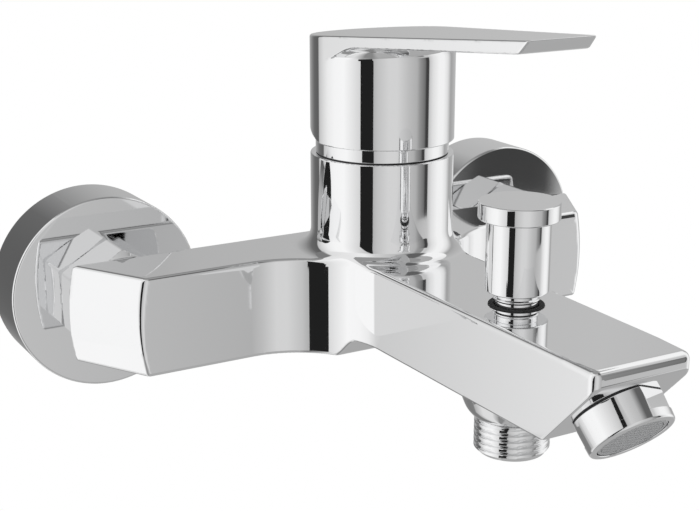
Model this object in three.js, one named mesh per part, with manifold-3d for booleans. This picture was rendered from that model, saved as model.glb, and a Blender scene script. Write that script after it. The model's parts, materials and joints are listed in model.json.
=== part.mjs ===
// Wall mounted bath and shower mixer, millimetres, +Z up.
// The wall is the plane y = 0 and the mixer stands in front of it, towards -Y.
// x = 0 is the middle of the body and z = 0 is the height of the two inlets.

import * as THREE from 'three';
import { mergeVertices } from 'three/addons/utils/BufferGeometryUtils.js';
import Module from 'manifold-3d';

const wasm = await Module();
wasm.setup();

// ---------------------------------------------------------------- sizes

const gap = 0.3; // between pieces that touch, seat or slide
const past = 1; // how far a cutting tool runs past the face it opens

// standard pipe threads
const threadPitch = 1.814;
const threadDepth = 1.16;
const halfInchRadius = 10.48;
const threeQuarterRadius = 13.22;

// body: two arms, a column and a spout
const inletSpacing = 150;
const armDepth = 23.9;
const armRise = 15.1; // top of the arms above the inlet axis
const armDrop = 14.7; // underside of the arms below it
const armEndPast = 3; // front face past the inlet's axis
const armEndBevel = THREE.MathUtils.degToRad(30);
const armEndBulge = 1.5;
const columnFromBack = 24.7; // column axis in front of the arms' back face
const columnWall = 2.8; // round the cartridge nut
const columnHeight = 29.2; // above the arms
const columnFlare = 5.5;
const cornerFillet = 25; // plan radius between arm and spout
const spoutRootHalf = 17.1;
const spoutTipHalf = 15.4;
const spoutReach = 121.2; // column axis to the tip
const spoutHeight = 24;
const noseHeight = 5;
const outletTilt = THREE.MathUtils.degToRad(46); // outlet axis, from straight down
const hubStepReach = 10; // where the hub's underside starts to rise
const hubStepLength = 6.5;

// water ways
const crossRadius = 6;
const crossFromFront = 9.7;
const cartridgeFloor = 2; // metal between cross channel and cartridge
const inletBoreDepth = 7.7;
const inletWellRadius = 8;
const inletWellDepth = 16.5;
const risingPortRadius = 3.6;
const risingPortX = 8;
const risingPortY = 7.5;
const mixedPortRadius = 3.2;
const mixedPortY = -9;
const spoutChannelHalfWidth = 7;
const spoutChannelHalfHeight = 4.5;
const outletPassageHalfWidth = 6;
const outletPassageHeight = 4.2;

// inlet side, from the wall outwards
const escutcheonRadius = 30.2;
const escutcheonDepth = 19.7;
const escutcheonWall = 1.5;
const escutcheonFace = 2;
const escutcheonEdge = 0.6;
const sealDepth = 2.5;
const sealWidth = 2.4;
const wallThreadLength = 18;
const wallThreadBore = 7;
const eccentricOffset = 5;
const eccentricFlange = 8;
const frontBore = 8;
const unionNutFlats = 30;
const unionNutLength = 15;
const unionNutLip = 3.2;
const nippleCollar = 2.7;
const nippleRadius = 11.1;
const nippleWall = 2.7;
const washerThickness = 2;
const checkValveLength = 9;
const checkValveHub = 2.2;
const checkValveRib = 1.2;

// cartridge
const cartridgeRadius = 17.4;
const cartridgeWall = 1.8;
const neckRise = 6.5; // cartridge neck above the lever's pivot
const neckRadius = 15.2;
const neckWall = 2.2;
const shoulderDrop = 10; // cartridge shoulder below the pivot
const discThickness = 3.7;
const movingDiscRadius = 12.4;
const discPortRadius = 2.4;
const discPortOffset = 5;
const mixingPocketHalfWidth = 7.6;
const mixingPocketDepth = 2;
const driverDepth = 5.5;
const driverPlate = 2.3;
const driverNeckRadius = 7.5;
const baseStep = 5.7;
const mixedDiscPortRadius = 2.5;
const mixedDiscPortY = 1;
const portSealRadius = 4.7;
const portSealSection = 0.6;
const cartridgeNutWall = 3.2;
const cartridgeNutHeight = 10.7;
const cartridgeNutSlot = 3;

// lever mechanism
const neckShown = 4.2; // cover ring seen between column and handle
const leverTilt = THREE.MathUtils.degToRad(25);
const ballArm = 13;
const ballRadius = 3.3;
const spindleWidth = 7;
const spindleThroat = 2.6;
const spindleLength = 24;
const pivotPinRadius = 2;
const carrierSlotHalf = 7.5;
const carrierFlange = 3;

// cover ring
const coverRingWall = 1.2;
const coverRingInnerBevel = 0.9;
const coverRingRise = 3.5;
const coverRingChamfer = 1.9;

// handle
const handleWall = 1.3;
const handleTopRise = 32.1; // top plane above the pivot, on the column axis
const handleTopSlope = 0.087;
const handleTipReach = 85.5;
const handleTipHalf = 10.7;
const handleTipMitre = 3.6;
const bladeThickness = 3.5;
const bladeCornerRadius = 5;
const skirtRelief = 0.321; // slope of the cut under the back of the skirt
const handleCavityRise = 13;
const handlePocketRise = 25.5;
const handleBossRadius = 11;
const handlePocketWall = 3.3;
const grubScrewRadius = 2.5;
const grubScrewLength = 6;
const grubScrewRise = 18.5;
const grubScrewHex = 1.5;
const grubPointLength = 0.8;
const grubPointRadius = 1.2;
const plugRadius = 3.4;
const plugSeat = 2.6;
const plugRecess = 0.3;

// diverter
const diverterReach = 69.8; // from the column axis
const diverterLift = 6.5;
const knobCapRadius = 11;
const knobCapHeight = 4.8;
const knobRadius = 8.7;
const knobLength = 19.8;
const knobNeckRadius = 5.9;
const knobNeckShown = 4;
const knobBeadRadius = 6.5;
const knobBeadHalf = 0.5;
const knobGroove = 0.5; // under the cap
const knobEdge = 0.4;
const glandRadius = 8.2;
const glandHeight = 4.7;
const glandRecess = 0.4;
const glandSealSection = 0.5;
const glandLip = 1;
const stemSealSection = 0.55;
const wiperWidth = 1.1;
const wiperHeight = 1.3;
const stemRadius = 2.2;
const stemHeadRadius = 3.4;
const stemHeadHeight = 1.6;
const chamberRadius = 9;
const seatHoleRadius = 5.5;
const seatThickness = 1.5;
const seatDepth = 10.6; // upper seat below the spout's top
const plungerRadius = 7.2;
const plungerPlate = 2;
const sealDisc = 1.8;
const springRadius = 4;
const springWire = 0.5;
const springTurns = 5;

// shower outlet
const bossTopRadius = 15;
const bossEdgeRadius = 12.9;
const bossFootRadius = 11.2;
const bossDrop = 5.3; // from the spout's underside to the edge
const bossFoot = 1.9;
const outletThreadLength = 10.4;
const outletBore = 7;
const outletSeatHole = 5;
const outletSpigotRadius = 9.6;

// aerator
const aeratorRadius = 11.97;
const aeratorRimRadius = 11.41;
const aeratorLength = 9.06;
const aeratorRimRound = 0.8;
const aeratorThreadRadius = 10.3;
const aeratorSeatDepth = 6;
const aeratorFlats = 19.8;
const aeratorFlatsAngle = THREE.MathUtils.degToRad(60);
const aeratorBand = 2.8;
const aeratorWall = 1.6;
const aeratorGasket = 1.4;
const gridThickness = 1.3;
const gridRecess = 0.5;
const gridHoleRadius = 1.3;
const gridInnerCount = 6;
const gridInnerReach = 3.4;
const gridOuterCount = 10;
const gridOuterReach = 6.4;
const cageWall = 1.1;
const plateThickness = 1.2;
const plateHoleCount = 10;
const plateHoleRadius = 0.6;

// facets round a circle
const coarse = 16;
const medium = 24;
const fine = 44;

// ------------------------------------------------------- derived places

const bodyBack = -(escutcheonDepth + gap + unionNutLength + gap);
const bodyFront = bodyBack - armDepth;
const armEndHalf = inletSpacing / 2 + armEndPast;
const columnY = bodyBack - columnFromBack;
const tipY = columnY - spoutReach;
const columnTop = armRise + columnHeight;
const spoutBottom = armRise - spoutHeight;
const noseBottom = armRise - noseHeight;
const cutFaceRun = (noseBottom - spoutBottom) * Math.tan(Math.PI / 2 - outletTilt);
const outletCentre = new THREE.Vector3(0, tipY + cutFaceRun / 2, (noseBottom + spoutBottom) / 2);
const outletWay = new THREE.Vector3(0, -Math.sin(outletTilt), -Math.cos(outletTilt));
const armMiddle = (armRise - armDrop) / 2;
const armHeight = armRise + armDrop;
const floorZ = crossRadius + cartridgeFloor;
const pivotZ = columnTop + neckShown;
const halfTilt = leverTilt / 2;
const ballZ = pivotZ - ballArm * Math.cos(halfTilt);
const discOffset = ballArm * Math.sin(halfTilt);
const driverBottom = ballZ - driverDepth;
const movingDiscTop = driverBottom - gap;
const fixedDiscTop = movingDiscTop - discThickness - gap;
const baseTop = fixedDiscTop - discThickness - gap;
const baseBottom = floorZ + gap;
const shoulderZ = pivotZ - shoulderDrop;
const cartridgeBore = cartridgeRadius - cartridgeWall;
const cartridgeNutRadius = neckRadius + gap + cartridgeNutWall;
const columnRadius = cartridgeNutRadius + gap + columnWall;
const coverRingRadius = cartridgeNutRadius + gap + coverRingWall;
const handleCavityRadius = coverRingRadius + gap;
const handleRadius = handleCavityRadius + handleWall;
const diverterY = columnY - diverterReach;
const upperSeat = armRise - seatDepth;
const bossEdge = spoutBottom - bossDrop;
const bossBottom = bossEdge - bossFoot;
const upperSealTop = upperSeat - gap - diverterLift;
const plateTop = upperSealTop - sealDisc - gap;
const lowerSealTop = plateTop - plungerPlate - gap;
const lowerSeat = lowerSealTop - sealDisc - gap;
const glandTop = armRise - glandRecess;
const glandBottom = glandTop - glandHeight;

// ------------------------------------------------------------ materials

function metal(color, roughness) {
  return new THREE.MeshStandardMaterial({ color, roughness, metalness: 1 });
}

function nonMetal(color, roughness) {
  return new THREE.MeshStandardMaterial({ color, roughness, metalness: 0 });
}

const chrome = () => metal(0xe4e6e8, 0.06);
const brass = () => metal(0xc9a24a, 0.32);
const steel = () => metal(0xb9bcc0, 0.3);
const rubber = () => nonMetal(0x1c1c1e, 0.8);
const plastic = () => nonMetal(0xe9e7e0, 0.5);
const greyPlastic = () => nonMetal(0x9b9d9f, 0.55);
const ceramic = () => nonMetal(0xf3f1ea, 0.2);

// ------------------------------------------------------ solids and cuts

const axisX = new THREE.Vector3(1, 0, 0);
const axisY = new THREE.Vector3(0, 1, 0);
const axisZ = new THREE.Vector3(0, 0, 1);

function solid(geometry) {
  const bare = geometry.clone();
  bare.deleteAttribute('normal');
  bare.deleteAttribute('uv');
  const merged = mergeVertices(bare, 1e-4);
  const mesh = new wasm.Mesh({
    numProp: 3,
    vertProperties: new Float32Array(merged.attributes.position.array),
    triVerts: new Uint32Array(merged.index.array),
  });
  return new wasm.Manifold(mesh);
}

function geometryOf(body) {
  const mesh = body.getMesh();
  const geometry = new THREE.BufferGeometry();
  geometry.setAttribute('position', new THREE.BufferAttribute(mesh.vertProperties, 3));
  geometry.setIndex(new THREE.BufferAttribute(mesh.triVerts, 1));
  geometry.computeVertexNormals();
  return geometry;
}

function join(first, ...others) {
  return others.reduce((whole, other) => whole.add(other), first);
}

function cut(first, ...tools) {
  return tools.reduce((whole, tool) => whole.subtract(tool), first);
}

// a turned piece: outline of [radius, height] points, height along local z
function turned(outline, segments = medium) {
  const points = outline.map(([radius, height]) => new THREE.Vector2(radius, height));
  points.push(points[0].clone());
  const geometry = new THREE.LatheGeometry(points, segments);
  geometry.rotateX(Math.PI / 2);
  return solid(geometry);
}

function rod(radius, from, to, segments = medium) {
  return turned([[0, from], [radius, from], [radius, to], [0, to]], segments);
}

function ring(inner, outer, from, to, segments = medium) {
  return turned([[inner, from], [outer, from], [outer, to], [inner, to]], segments);
}

function roundRing(middle, section, height, segments = medium, sides = 6) {
  const outline = [];
  for (let i = 0; i < sides; i += 1) {
    const angle = (i * 2 * Math.PI) / sides;
    outline.push([middle + section * Math.cos(angle), height + section * Math.sin(angle)]);
  }
  return turned(outline, segments);
}

function block(xFrom, xTo, yFrom, yTo, zFrom, zTo) {
  const geometry = new THREE.BoxGeometry(xTo - xFrom, yTo - yFrom, zTo - zFrom);
  geometry.translate((xFrom + xTo) / 2, (yFrom + yTo) / 2, (zFrom + zTo) / 2);
  return solid(geometry);
}

function prism(points, depth, matrix) {
  const shape = new THREE.Shape(points.map(([x, y]) => new THREE.Vector2(x, y)));
  const geometry = new THREE.ExtrudeGeometry(shape, { depth, bevelEnabled: false });
  geometry.applyMatrix4(matrix);
  return solid(geometry);
}

// prism of an outline in plan, between two heights
function upright(points, zFrom, zTo) {
  return prism(points, zTo - zFrom, new THREE.Matrix4().makeTranslation(0, 0, zFrom));
}

// prism of a side view, given as [y, z] points, between two x
function sideways(points, xFrom, xTo) {
  const matrix = new THREE.Matrix4().makeBasis(axisY, axisZ, axisX);
  matrix.setPosition(xFrom, 0, 0);
  return prism(points, xTo - xFrom, matrix);
}

function hexagon(acrossFlats, turn = 0) {
  const radius = acrossFlats / Math.sqrt(3);
  return Array.from({ length: 6 }, (_, i) => {
    const angle = turn + (i * Math.PI) / 3;
    return [radius * Math.cos(angle), radius * Math.sin(angle)];
  });
}

// moves a solid that was made along z, so that its z runs along a direction
function placed(body, position, direction = axisZ) {
  const turn = new THREE.Quaternion().setFromUnitVectors(axisZ, direction);
  const matrix = new THREE.Matrix4().compose(position, turn, new THREE.Vector3(1, 1, 1));
  return body.transform(matrix.elements);
}

function bore(from, to, radius) {
  const along = to.clone().sub(from);
  return placed(rod(radius, 0, along.length(), coarse), from, along.clone().normalize());
}

// ridges of a screw thread, as outline points climbing from one height to another
function threadOutline(crest, from, to) {
  const turns = Math.max(1, Math.round(Math.abs(to - from) / threadPitch));
  const step = (to - from) / turns;
  const root = crest - threadDepth;
  const outline = [];
  for (let i = 0; i < turns; i += 1) {
    outline.push([root, from + i * step], [crest, from + (i + 0.5) * step]);
  }
  outline.push([root, to]);
  return outline;
}

const group = new THREE.Group();

function addNode(name, body, material, parent = group) {
  const mesh = new THREE.Mesh(geometryOf(body), material);
  mesh.name = name;
  parent.add(mesh);
  return mesh;
}

// a local frame whose z runs along a direction
function frameAt(x, y, z, direction = axisZ) {
  const frame = new THREE.Group();
  frame.position.set(x, y, z);
  frame.quaternion.setFromUnitVectors(axisZ, direction);
  group.add(frame);
  return frame;
}

// ----------------------------------------------------------- mixer body

function bodyPlan() {
  const armEndBack = armEndHalf + armDepth * Math.tan(armEndBevel);
  const reachOut = armEndBulge / Math.cos(armEndBevel);
  const filletX = spoutRootHalf + cornerFillet;
  const filletY = bodyFront - cornerFillet;
  const half = [[armEndBack + reachOut, bodyBack], [armEndHalf + reachOut, bodyFront]];
  const steps = 10;
  for (let i = 0; i <= steps; i += 1) {
    const angle = Math.PI / 2 + (i / steps) * (Math.PI / 2);
    half.push([filletX + cornerFillet * Math.cos(angle), filletY + cornerFillet * Math.sin(angle)]);
  }
  half.push([spoutTipHalf, tipY]);
  const mirrored = half.map(([x, y]) => [-x, y]).reverse();
  return [...half, ...mirrored].reverse();
}

function bodySide() {
  const outline = [[bodyBack, armRise], [tipY, armRise], [tipY, noseBottom]];
  outline.push([tipY + cutFaceRun, spoutBottom]);
  const steps = 6;
  for (let i = 0; i <= steps; i += 1) {
    const share = i / steps;
    const y = columnY - hubStepReach - hubStepLength * (1 - share);
    const rise = (1 + Math.cos(Math.PI * share)) / 2;
    outline.push([y, -armDrop + (spoutBottom + armDrop) * rise]);
  }
  outline.push([bodyBack, -armDrop]);
  return outline;
}

// what lies inside one arm's bowed end face
function endFace(side) {
  const far = 2 * armEndHalf + 2 * spoutReach;
  const outline = [[-far, -armDrop - past], [0, -armDrop - past]];
  const steps = 8;
  for (let i = 0; i <= steps; i += 1) {
    const share = (2 * i) / steps - 1;
    outline.push([armEndBulge * (1 - share * share), armMiddle + (share * armHeight) / 2]);
  }
  outline.push([0, columnTop + past], [-far, columnTop + past]);
  const normal = new THREE.Vector3(side * Math.cos(armEndBevel), -Math.sin(armEndBevel), 0);
  const along = normal.clone().cross(axisZ);
  const matrix = new THREE.Matrix4().makeBasis(normal, axisZ, along);
  matrix.setPosition(new THREE.Vector3(side * armEndHalf, bodyFront, 0).addScaledVector(along, -far));
  return prism(outline, 2 * far, matrix);
}

function columnOutline() {
  const outline = [[0, armRise - past], [columnRadius + columnFlare, armRise - past]];
  const steps = 5;
  for (let i = 0; i <= steps; i += 1) {
    const angle = (i / steps) * (Math.PI / 2);
    const radius = columnRadius + columnFlare * (1 - Math.sin(angle));
    outline.push([radius, armRise + columnFlare * (1 - Math.cos(angle))]);
  }
  outline.push([columnRadius, columnTop], [0, columnTop]);
  return outline;
}

function inletWays(side) {
  const x = (side * inletSpacing) / 2;
  const crossY = bodyFront + crossFromFront;
  const mouth = new THREE.Vector3(x, bodyBack + past, 0);
  const innerEnd = new THREE.Vector3(side * (risingPortX - risingPortRadius), crossY, 0);
  const port = new THREE.Vector3(side * risingPortX, columnY + risingPortY, 0);
  return [
    bore(mouth, new THREE.Vector3(x, bodyBack - inletBoreDepth, 0), nippleRadius + gap),
    bore(mouth, new THREE.Vector3(x, bodyBack - inletWellDepth, 0), inletWellRadius),
    bore(innerEnd, new THREE.Vector3(x, crossY, 0), crossRadius),
    bore(port, new THREE.Vector3(port.x, port.y, floorZ + past), risingPortRadius),
  ];
}

function cartridgeSeat() {
  const nutSeat = shoulderZ - gap;
  const outline = [[0, floorZ], [cartridgeRadius + gap, floorZ], [cartridgeRadius + gap, nutSeat]];
  outline.push([cartridgeNutRadius + gap, nutSeat], [cartridgeNutRadius + gap, columnTop + past]);
  outline.push([0, columnTop + past]);
  return placed(turned(outline, fine), new THREE.Vector3(0, columnY, 0));
}

function diverterWell() {
  const outline = [[0, bossBottom - past], [outletSpigotRadius + gap, bossBottom - past]];
  outline.push([outletSpigotRadius + gap, lowerSeat + gap], [chamberRadius, lowerSeat + gap]);
  outline.push([chamberRadius, upperSeat], [seatHoleRadius, upperSeat]);
  outline.push([seatHoleRadius, upperSeat + seatThickness]);
  outline.push([glandRadius + gap, upperSeat + seatThickness]);
  outline.push([glandRadius + gap, armRise + past], [0, armRise + past]);
  return placed(turned(outline), new THREE.Vector3(0, diverterY, 0));
}

function spoutWays() {
  const channelEnd = diverterY + chamberRadius - past;
  const passageTop = glandBottom + gap;
  const half = spoutChannelHalfWidth;
  const halfHeight = spoutChannelHalfHeight;
  const mixedPort = new THREE.Vector3(0, columnY + mixedPortY, 0);
  const mixedTop = new THREE.Vector3(0, mixedPort.y, floorZ + past);
  const channelStart = mixedPort.y + mixedPortRadius;
  const passageStart = diverterY - seatHoleRadius;
  const passageEnd = outletCentre.y;
  const passageFloor = passageTop - outletPassageHeight;
  const passageHalf = outletPassageHalfWidth;
  return [
    bore(mixedPort, mixedTop, mixedPortRadius),
    block(-half, half, channelEnd, channelStart, -halfHeight, halfHeight),
    block(-passageHalf, passageHalf, passageEnd, passageStart, passageFloor, passageTop),
    placed(rod(aeratorThreadRadius + gap, -aeratorSeatDepth, past), outletCentre, outletWay),
  ];
}

function outletBoss() {
  const inside = spoutBottom + past;
  const outline = [[0, bossBottom], [bossFootRadius, bossBottom], [bossEdgeRadius, bossEdge]];
  outline.push([bossTopRadius, spoutBottom], [bossTopRadius, inside], [0, inside]);
  return placed(turned(outline), new THREE.Vector3(0, diverterY, 0));
}

function mixerBody() {
  const plan = bodyPlan();
  const wide = armEndHalf + 2 * armDepth;
  const slab = upright(plan, -armDrop, armRise).intersect(sideways(bodySide(), -wide, wide));
  const arms = slab.intersect(endFace(1)).intersect(endFace(-1));
  const middle = spoutRootHalf + cornerFillet;
  const hub = slab.intersect(block(-middle, middle, tipY - past, bodyBack + past, -armHeight, armHeight));
  const planTall = upright(plan, armRise - past, columnTop);
  const column = placed(turned(columnOutline(), fine), new THREE.Vector3(0, columnY, 0));
  const outside = join(arms, hub, column.intersect(planTall), outletBoss());
  return cut(outside, ...inletWays(1), ...inletWays(-1), cartridgeSeat(), diverterWell(), ...spoutWays());
}

addNode('mixer_body', mixerBody(), chrome());

// ----------------------------------------------- inlets, one on each side

// heights in this section are distances from the wall
const nutStart = escutcheonDepth + gap;
const nutEnd = nutStart + unionNutLength;
const lipStart = nutEnd - unionNutLip;
const collarStart = lipStart - gap - nippleCollar;
const washerStart = collarStart - gap - washerThickness;
const eccentricEnd = washerStart - gap;
const nutBore = threeQuarterRadius + gap;

function escutcheon() {
  const edge = escutcheonEdge;
  const inner = escutcheonRadius - escutcheonWall;
  const outline = [[nutBore, escutcheonDepth - escutcheonFace]];
  outline.push([inner, escutcheonDepth - escutcheonFace], [inner, 0], [escutcheonRadius, 0]);
  outline.push([escutcheonRadius, escutcheonDepth - edge], [escutcheonRadius - edge, escutcheonDepth]);
  outline.push([nutBore, escutcheonDepth]);
  return turned(outline, fine);
}

function escutcheonSeal() {
  const outer = escutcheonRadius - escutcheonWall - gap;
  return ring(outer - sealWidth, outer, 0, sealDepth, fine);
}

function eccentricUnion() {
  const offset = new THREE.Vector3(0, -eccentricOffset, 0);
  const wallThread = [[0, -wallThreadLength], ...threadOutline(halfInchRadius, -wallThreadLength, 0)];
  wallThread.push([0, 0]);
  const wallEnd = turned(wallThread, coarse);
  const middle = rod(halfInchRadius, -gap, eccentricFlange, coarse);
  const front = rod(threeQuarterRadius, 0, eccentricEnd);
  const shell = join(placed(join(wallEnd, middle), offset), front);
  const meet = eccentricFlange - past; // where the two bores run into each other
  const wallBore = rod(wallThreadBore, -wallThreadLength - past, meet, coarse);
  const outerBore = rod(frontBore, meet - past - eccentricOffset, eccentricEnd + past, coarse);
  return cut(shell, placed(wallBore, offset), outerBore);
}

function unionNut() {
  const corner = unionNutFlats / Math.sqrt(3);
  const chamfer = corner - unionNutFlats / 2;
  const rounded = [[0, nutStart], [corner - chamfer, nutStart], [corner, nutStart + chamfer / 2]];
  rounded.push([corner, nutEnd - chamfer / 2], [corner - chamfer, nutEnd], [0, nutEnd]);
  const matrix = new THREE.Matrix4().makeTranslation(0, 0, nutStart);
  const hex = prism(hexagon(unionNutFlats, Math.PI / 6), unionNutLength, matrix);
  const threaded = rod(nutBore, nutStart - past, lipStart);
  const throat = rod(nippleRadius + gap, nutStart, nutEnd + past);
  return cut(hex.intersect(turned(rounded, medium)), threaded, throat);
}

function inletNipple() {
  const end = -bodyBack + inletBoreDepth - gap;
  const inner = nippleRadius - nippleWall;
  const outline = [[inner, collarStart], [threeQuarterRadius, collarStart]];
  outline.push([threeQuarterRadius, lipStart - gap], [nippleRadius, lipStart - gap]);
  outline.push([nippleRadius, end], [inner, end]);
  return turned(outline);
}

function checkValve() {
  const start = lipStart;
  const end = start + checkValveLength;
  const outer = nippleRadius - nippleWall - gap;
  const middle = (start + end) / 2;
  const cage = ring(outer - checkValveRib, outer, start, end, coarse);
  const hub = rod(checkValveHub, middle, end, coarse);
  const half = checkValveRib / 2;
  const spanOut = outer - half;
  const ribs = join(
    block(-spanOut, spanOut, -half, half, middle, end - past),
    block(-half, half, -spanOut, spanOut, middle, end - past),
  );
  return join(cage, ribs, hub);
}

const outwards = new THREE.Vector3(0, -1, 0);

for (const [side, name] of [[-1, 'left'], [1, 'right']]) {
  const inlet = frameAt((side * inletSpacing) / 2, 0, 0, outwards);
  const washer = ring(frontBore, threeQuarterRadius, washerStart, washerStart + washerThickness);
  addNode(`escutcheon_${name}`, escutcheon(), chrome(), inlet);
  addNode(`escutcheon_seal_${name}`, escutcheonSeal(), rubber(), inlet);
  addNode(`eccentric_union_${name}`, eccentricUnion(), brass(), inlet);
  addNode(`union_nut_${name}`, unionNut(), chrome(), inlet);
  addNode(`sealing_washer_${name}`, washer, rubber(), inlet);
  addNode(`inlet_nipple_${name}`, inletNipple(), brass(), inlet);
  addNode(`check_valve_${name}`, checkValve(), greyPlastic(), inlet);
}

// ------------------------------------------------------------ cartridge

// heights are in the object's frame, turned about the column's axis
const columnFrame = frameAt(0, columnY, 0);
const neckTop = pivotZ + neckRise;
const neckInner = neckRadius - neckWall;
const driverTop = driverBottom + driverDepth + ballRadius - past;
const carrierBottom = driverBottom + driverPlate + gap;

const floorPorts = [
  new THREE.Vector3(-risingPortX, risingPortY, 0),
  new THREE.Vector3(risingPortX, risingPortY, 0),
  new THREE.Vector3(0, mixedPortY, 0),
];
const discPorts = [
  { place: new THREE.Vector3(-discPortOffset, -discPortOffset, 0), radius: discPortRadius },
  { place: new THREE.Vector3(discPortOffset, -discPortOffset, 0), radius: discPortRadius },
  { place: new THREE.Vector3(0, mixedDiscPortY, 0), radius: mixedDiscPortRadius },
];

function raised(point, z) {
  return new THREE.Vector3(point.x, point.y, z);
}

function cartridgeHousing() {
  const bottom = baseBottom + baseStep + gap;
  const outline = [[cartridgeBore, bottom], [cartridgeRadius, bottom], [cartridgeRadius, shoulderZ]];
  outline.push([neckRadius, shoulderZ], [neckRadius, neckTop], [neckInner, neckTop]);
  outline.push([neckInner, shoulderZ - cartridgeWall], [cartridgeBore, shoulderZ - cartridgeWall]);
  return turned(outline);
}

function cartridgeBase() {
  const step = baseBottom + baseStep;
  const upper = cartridgeBore - gap;
  const outline = [[0, baseBottom], [cartridgeRadius, baseBottom], [cartridgeRadius, step]];
  outline.push([upper, step], [upper, baseTop], [0, baseTop]);
  const groove = portSealSection + gap;
  const tools = floorPorts.flatMap((port, i) => {
    const grooveTop = baseBottom + 2 * groove - gap;
    const seal = ring(portSealRadius - groove, portSealRadius + groove, floorZ, grooveTop, coarse);
    const low = raised(port, baseBottom);
    const high = raised(discPorts[i].place, baseTop);
    const run = high.clone().sub(low).normalize().multiplyScalar(2 * discPorts[i].radius);
    return [placed(seal, port), bore(low.clone().sub(run), high.clone().add(run), discPorts[i].radius)];
  });
  return cut(turned(outline), ...tools);
}

function portSeal(port) {
  return placed(roundRing(portSealRadius, portSealSection, baseBottom + portSealSection, coarse), port);
}

function fixedDisc() {
  const bottom = baseTop + gap;
  const ports = discPorts.map(({ place, radius }) => {
    return placed(rod(radius, bottom - past, fixedDiscTop + past, coarse), place);
  });
  return cut(rod(cartridgeBore - gap, bottom, fixedDiscTop), ...ports);
}

function movingDisc() {
  const bottom = movingDiscTop - discThickness;
  const front = discPortOffset - discPortRadius + discOffset - gap;
  const back = mixedDiscPortY + mixedDiscPortRadius + discOffset;
  const half = mixingPocketHalfWidth;
  const pocket = block(-half, half, -front, back, bottom - past, bottom + mixingPocketDepth);
  return cut(rod(movingDiscRadius, bottom, movingDiscTop), pocket);
}

function discDriver() {
  const plate = rod(movingDiscRadius - gap, driverBottom, driverBottom + driverPlate);
  const neck = rod(driverNeckRadius, driverBottom, driverTop);
  const half = ballRadius + gap;
  const drop = ballArm * (1 - Math.cos(halfTilt));
  const pocket = block(-half, half, -half, half, ballZ - half - drop, driverTop + past);
  return cut(join(plate, neck), pocket);
}

function carrier() {
  const flangeRadius = cartridgeBore - 2 * gap;
  const stemOuter = neckInner - gap;
  const cavityRadius = driverNeckRadius + discOffset + gap;
  const flangeTop = carrierBottom + carrierFlange;
  const top = neckTop - gap;
  const outline = [[0, carrierBottom], [flangeRadius, carrierBottom], [flangeRadius, flangeTop]];
  outline.push([stemOuter, flangeTop], [stemOuter, top], [0, top]);
  const slotHalf = spindleWidth / 2 + gap;
  const pinHole = new THREE.Vector3(-neckRadius, 0, pivotZ);
  return cut(
    turned(outline),
    rod(cavityRadius, carrierBottom - past, driverTop + gap),
    block(-slotHalf, slotHalf, -carrierSlotHalf, carrierSlotHalf, driverTop, top + past),
    bore(pinHole, new THREE.Vector3(neckRadius, 0, pivotZ), pivotPinRadius + gap),
  );
}

// heights from the pivot, along the spindle
function spindle() {
  const half = spindleWidth / 2;
  const squareStart = -(ballArm - ballRadius - past);
  const ball = new THREE.SphereGeometry(ballRadius, 20, 14);
  ball.rotateX(Math.PI / 2);
  ball.translate(0, 0, -ballArm);
  const throat = rod(spindleThroat, -ballArm, squareStart + past / 2, coarse);
  const shaft = block(-half, half, -half, half, squareStart, spindleLength);
  const pinEnd = new THREE.Vector3(half + past, 0, 0);
  return cut(join(solid(ball), throat, shaft), bore(pinEnd.clone().negate(), pinEnd, pivotPinRadius + gap));
}

function cartridgeNut() {
  const bottom = shoulderZ + gap;
  const top = bottom + cartridgeNutHeight;
  const half = cartridgeNutSlot / 2;
  const far = cartridgeNutRadius + past;
  return cut(
    ring(neckRadius + gap, cartridgeNutRadius, bottom, top, fine),
    block(-far, far, -half, half, top - cartridgeNutSlot, top + past),
    block(-half, half, -far, far, top - cartridgeNutSlot, top + past),
  );
}

function coverRing() {
  const bottom = columnTop + gap;
  const top = pivotZ + coverRingRise;
  const inner = coverRingRadius - coverRingWall;
  const hole = neckRadius + 2 * gap;
  const outline = [[inner, bottom], [coverRingRadius, bottom], [coverRingRadius, top - coverRingChamfer]];
  outline.push([coverRingRadius - coverRingChamfer, top], [hole, top], [hole, top - coverRingWall]);
  outline.push([inner - coverRingInnerBevel, top - coverRingWall]);
  outline.push([inner, top - coverRingWall - coverRingInnerBevel]);
  return turned(outline, fine);
}

function pivotPin() {
  const half = neckInner - 2 * gap - pivotPinRadius / 4;
  return placed(rod(pivotPinRadius, -half, half, coarse), new THREE.Vector3(0, 0, pivotZ), axisX);
}

addNode('cartridge_base', cartridgeBase(), plastic(), columnFrame);
['hot', 'cold', 'mixed'].forEach((name, i) => {
  addNode(`port_seal_${name}`, portSeal(floorPorts[i]), rubber(), columnFrame);
});
addNode('fixed_disc', fixedDisc(), ceramic(), columnFrame);
addNode('cartridge_housing', cartridgeHousing(), plastic(), columnFrame);
addNode('cartridge_nut', cartridgeNut(), brass(), columnFrame);
addNode('cover_ring', coverRing(), chrome(), columnFrame);
addNode('lever_carrier', carrier(), greyPlastic(), columnFrame);
addNode('pivot_pin', pivotPin(), steel(), columnFrame);

const discFrame = frameAt(0, columnY + discOffset, 0);
addNode('moving_disc', movingDisc(), ceramic(), discFrame);
addNode('disc_driver', discDriver(), greyPlastic(), discFrame);

const leverWay = new THREE.Vector3(0, -Math.sin(halfTilt), Math.cos(halfTilt));
const leverFrame = frameAt(0, columnY, pivotZ, leverWay);
addNode('lever_spindle', spindle(), brass(), leverFrame);

// --------------------------------------------------------------- handle

// forward reach and height here are measured from the pivot
function handleTop(reach) {
  return handleTopRise + handleTopSlope * reach;
}

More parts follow.
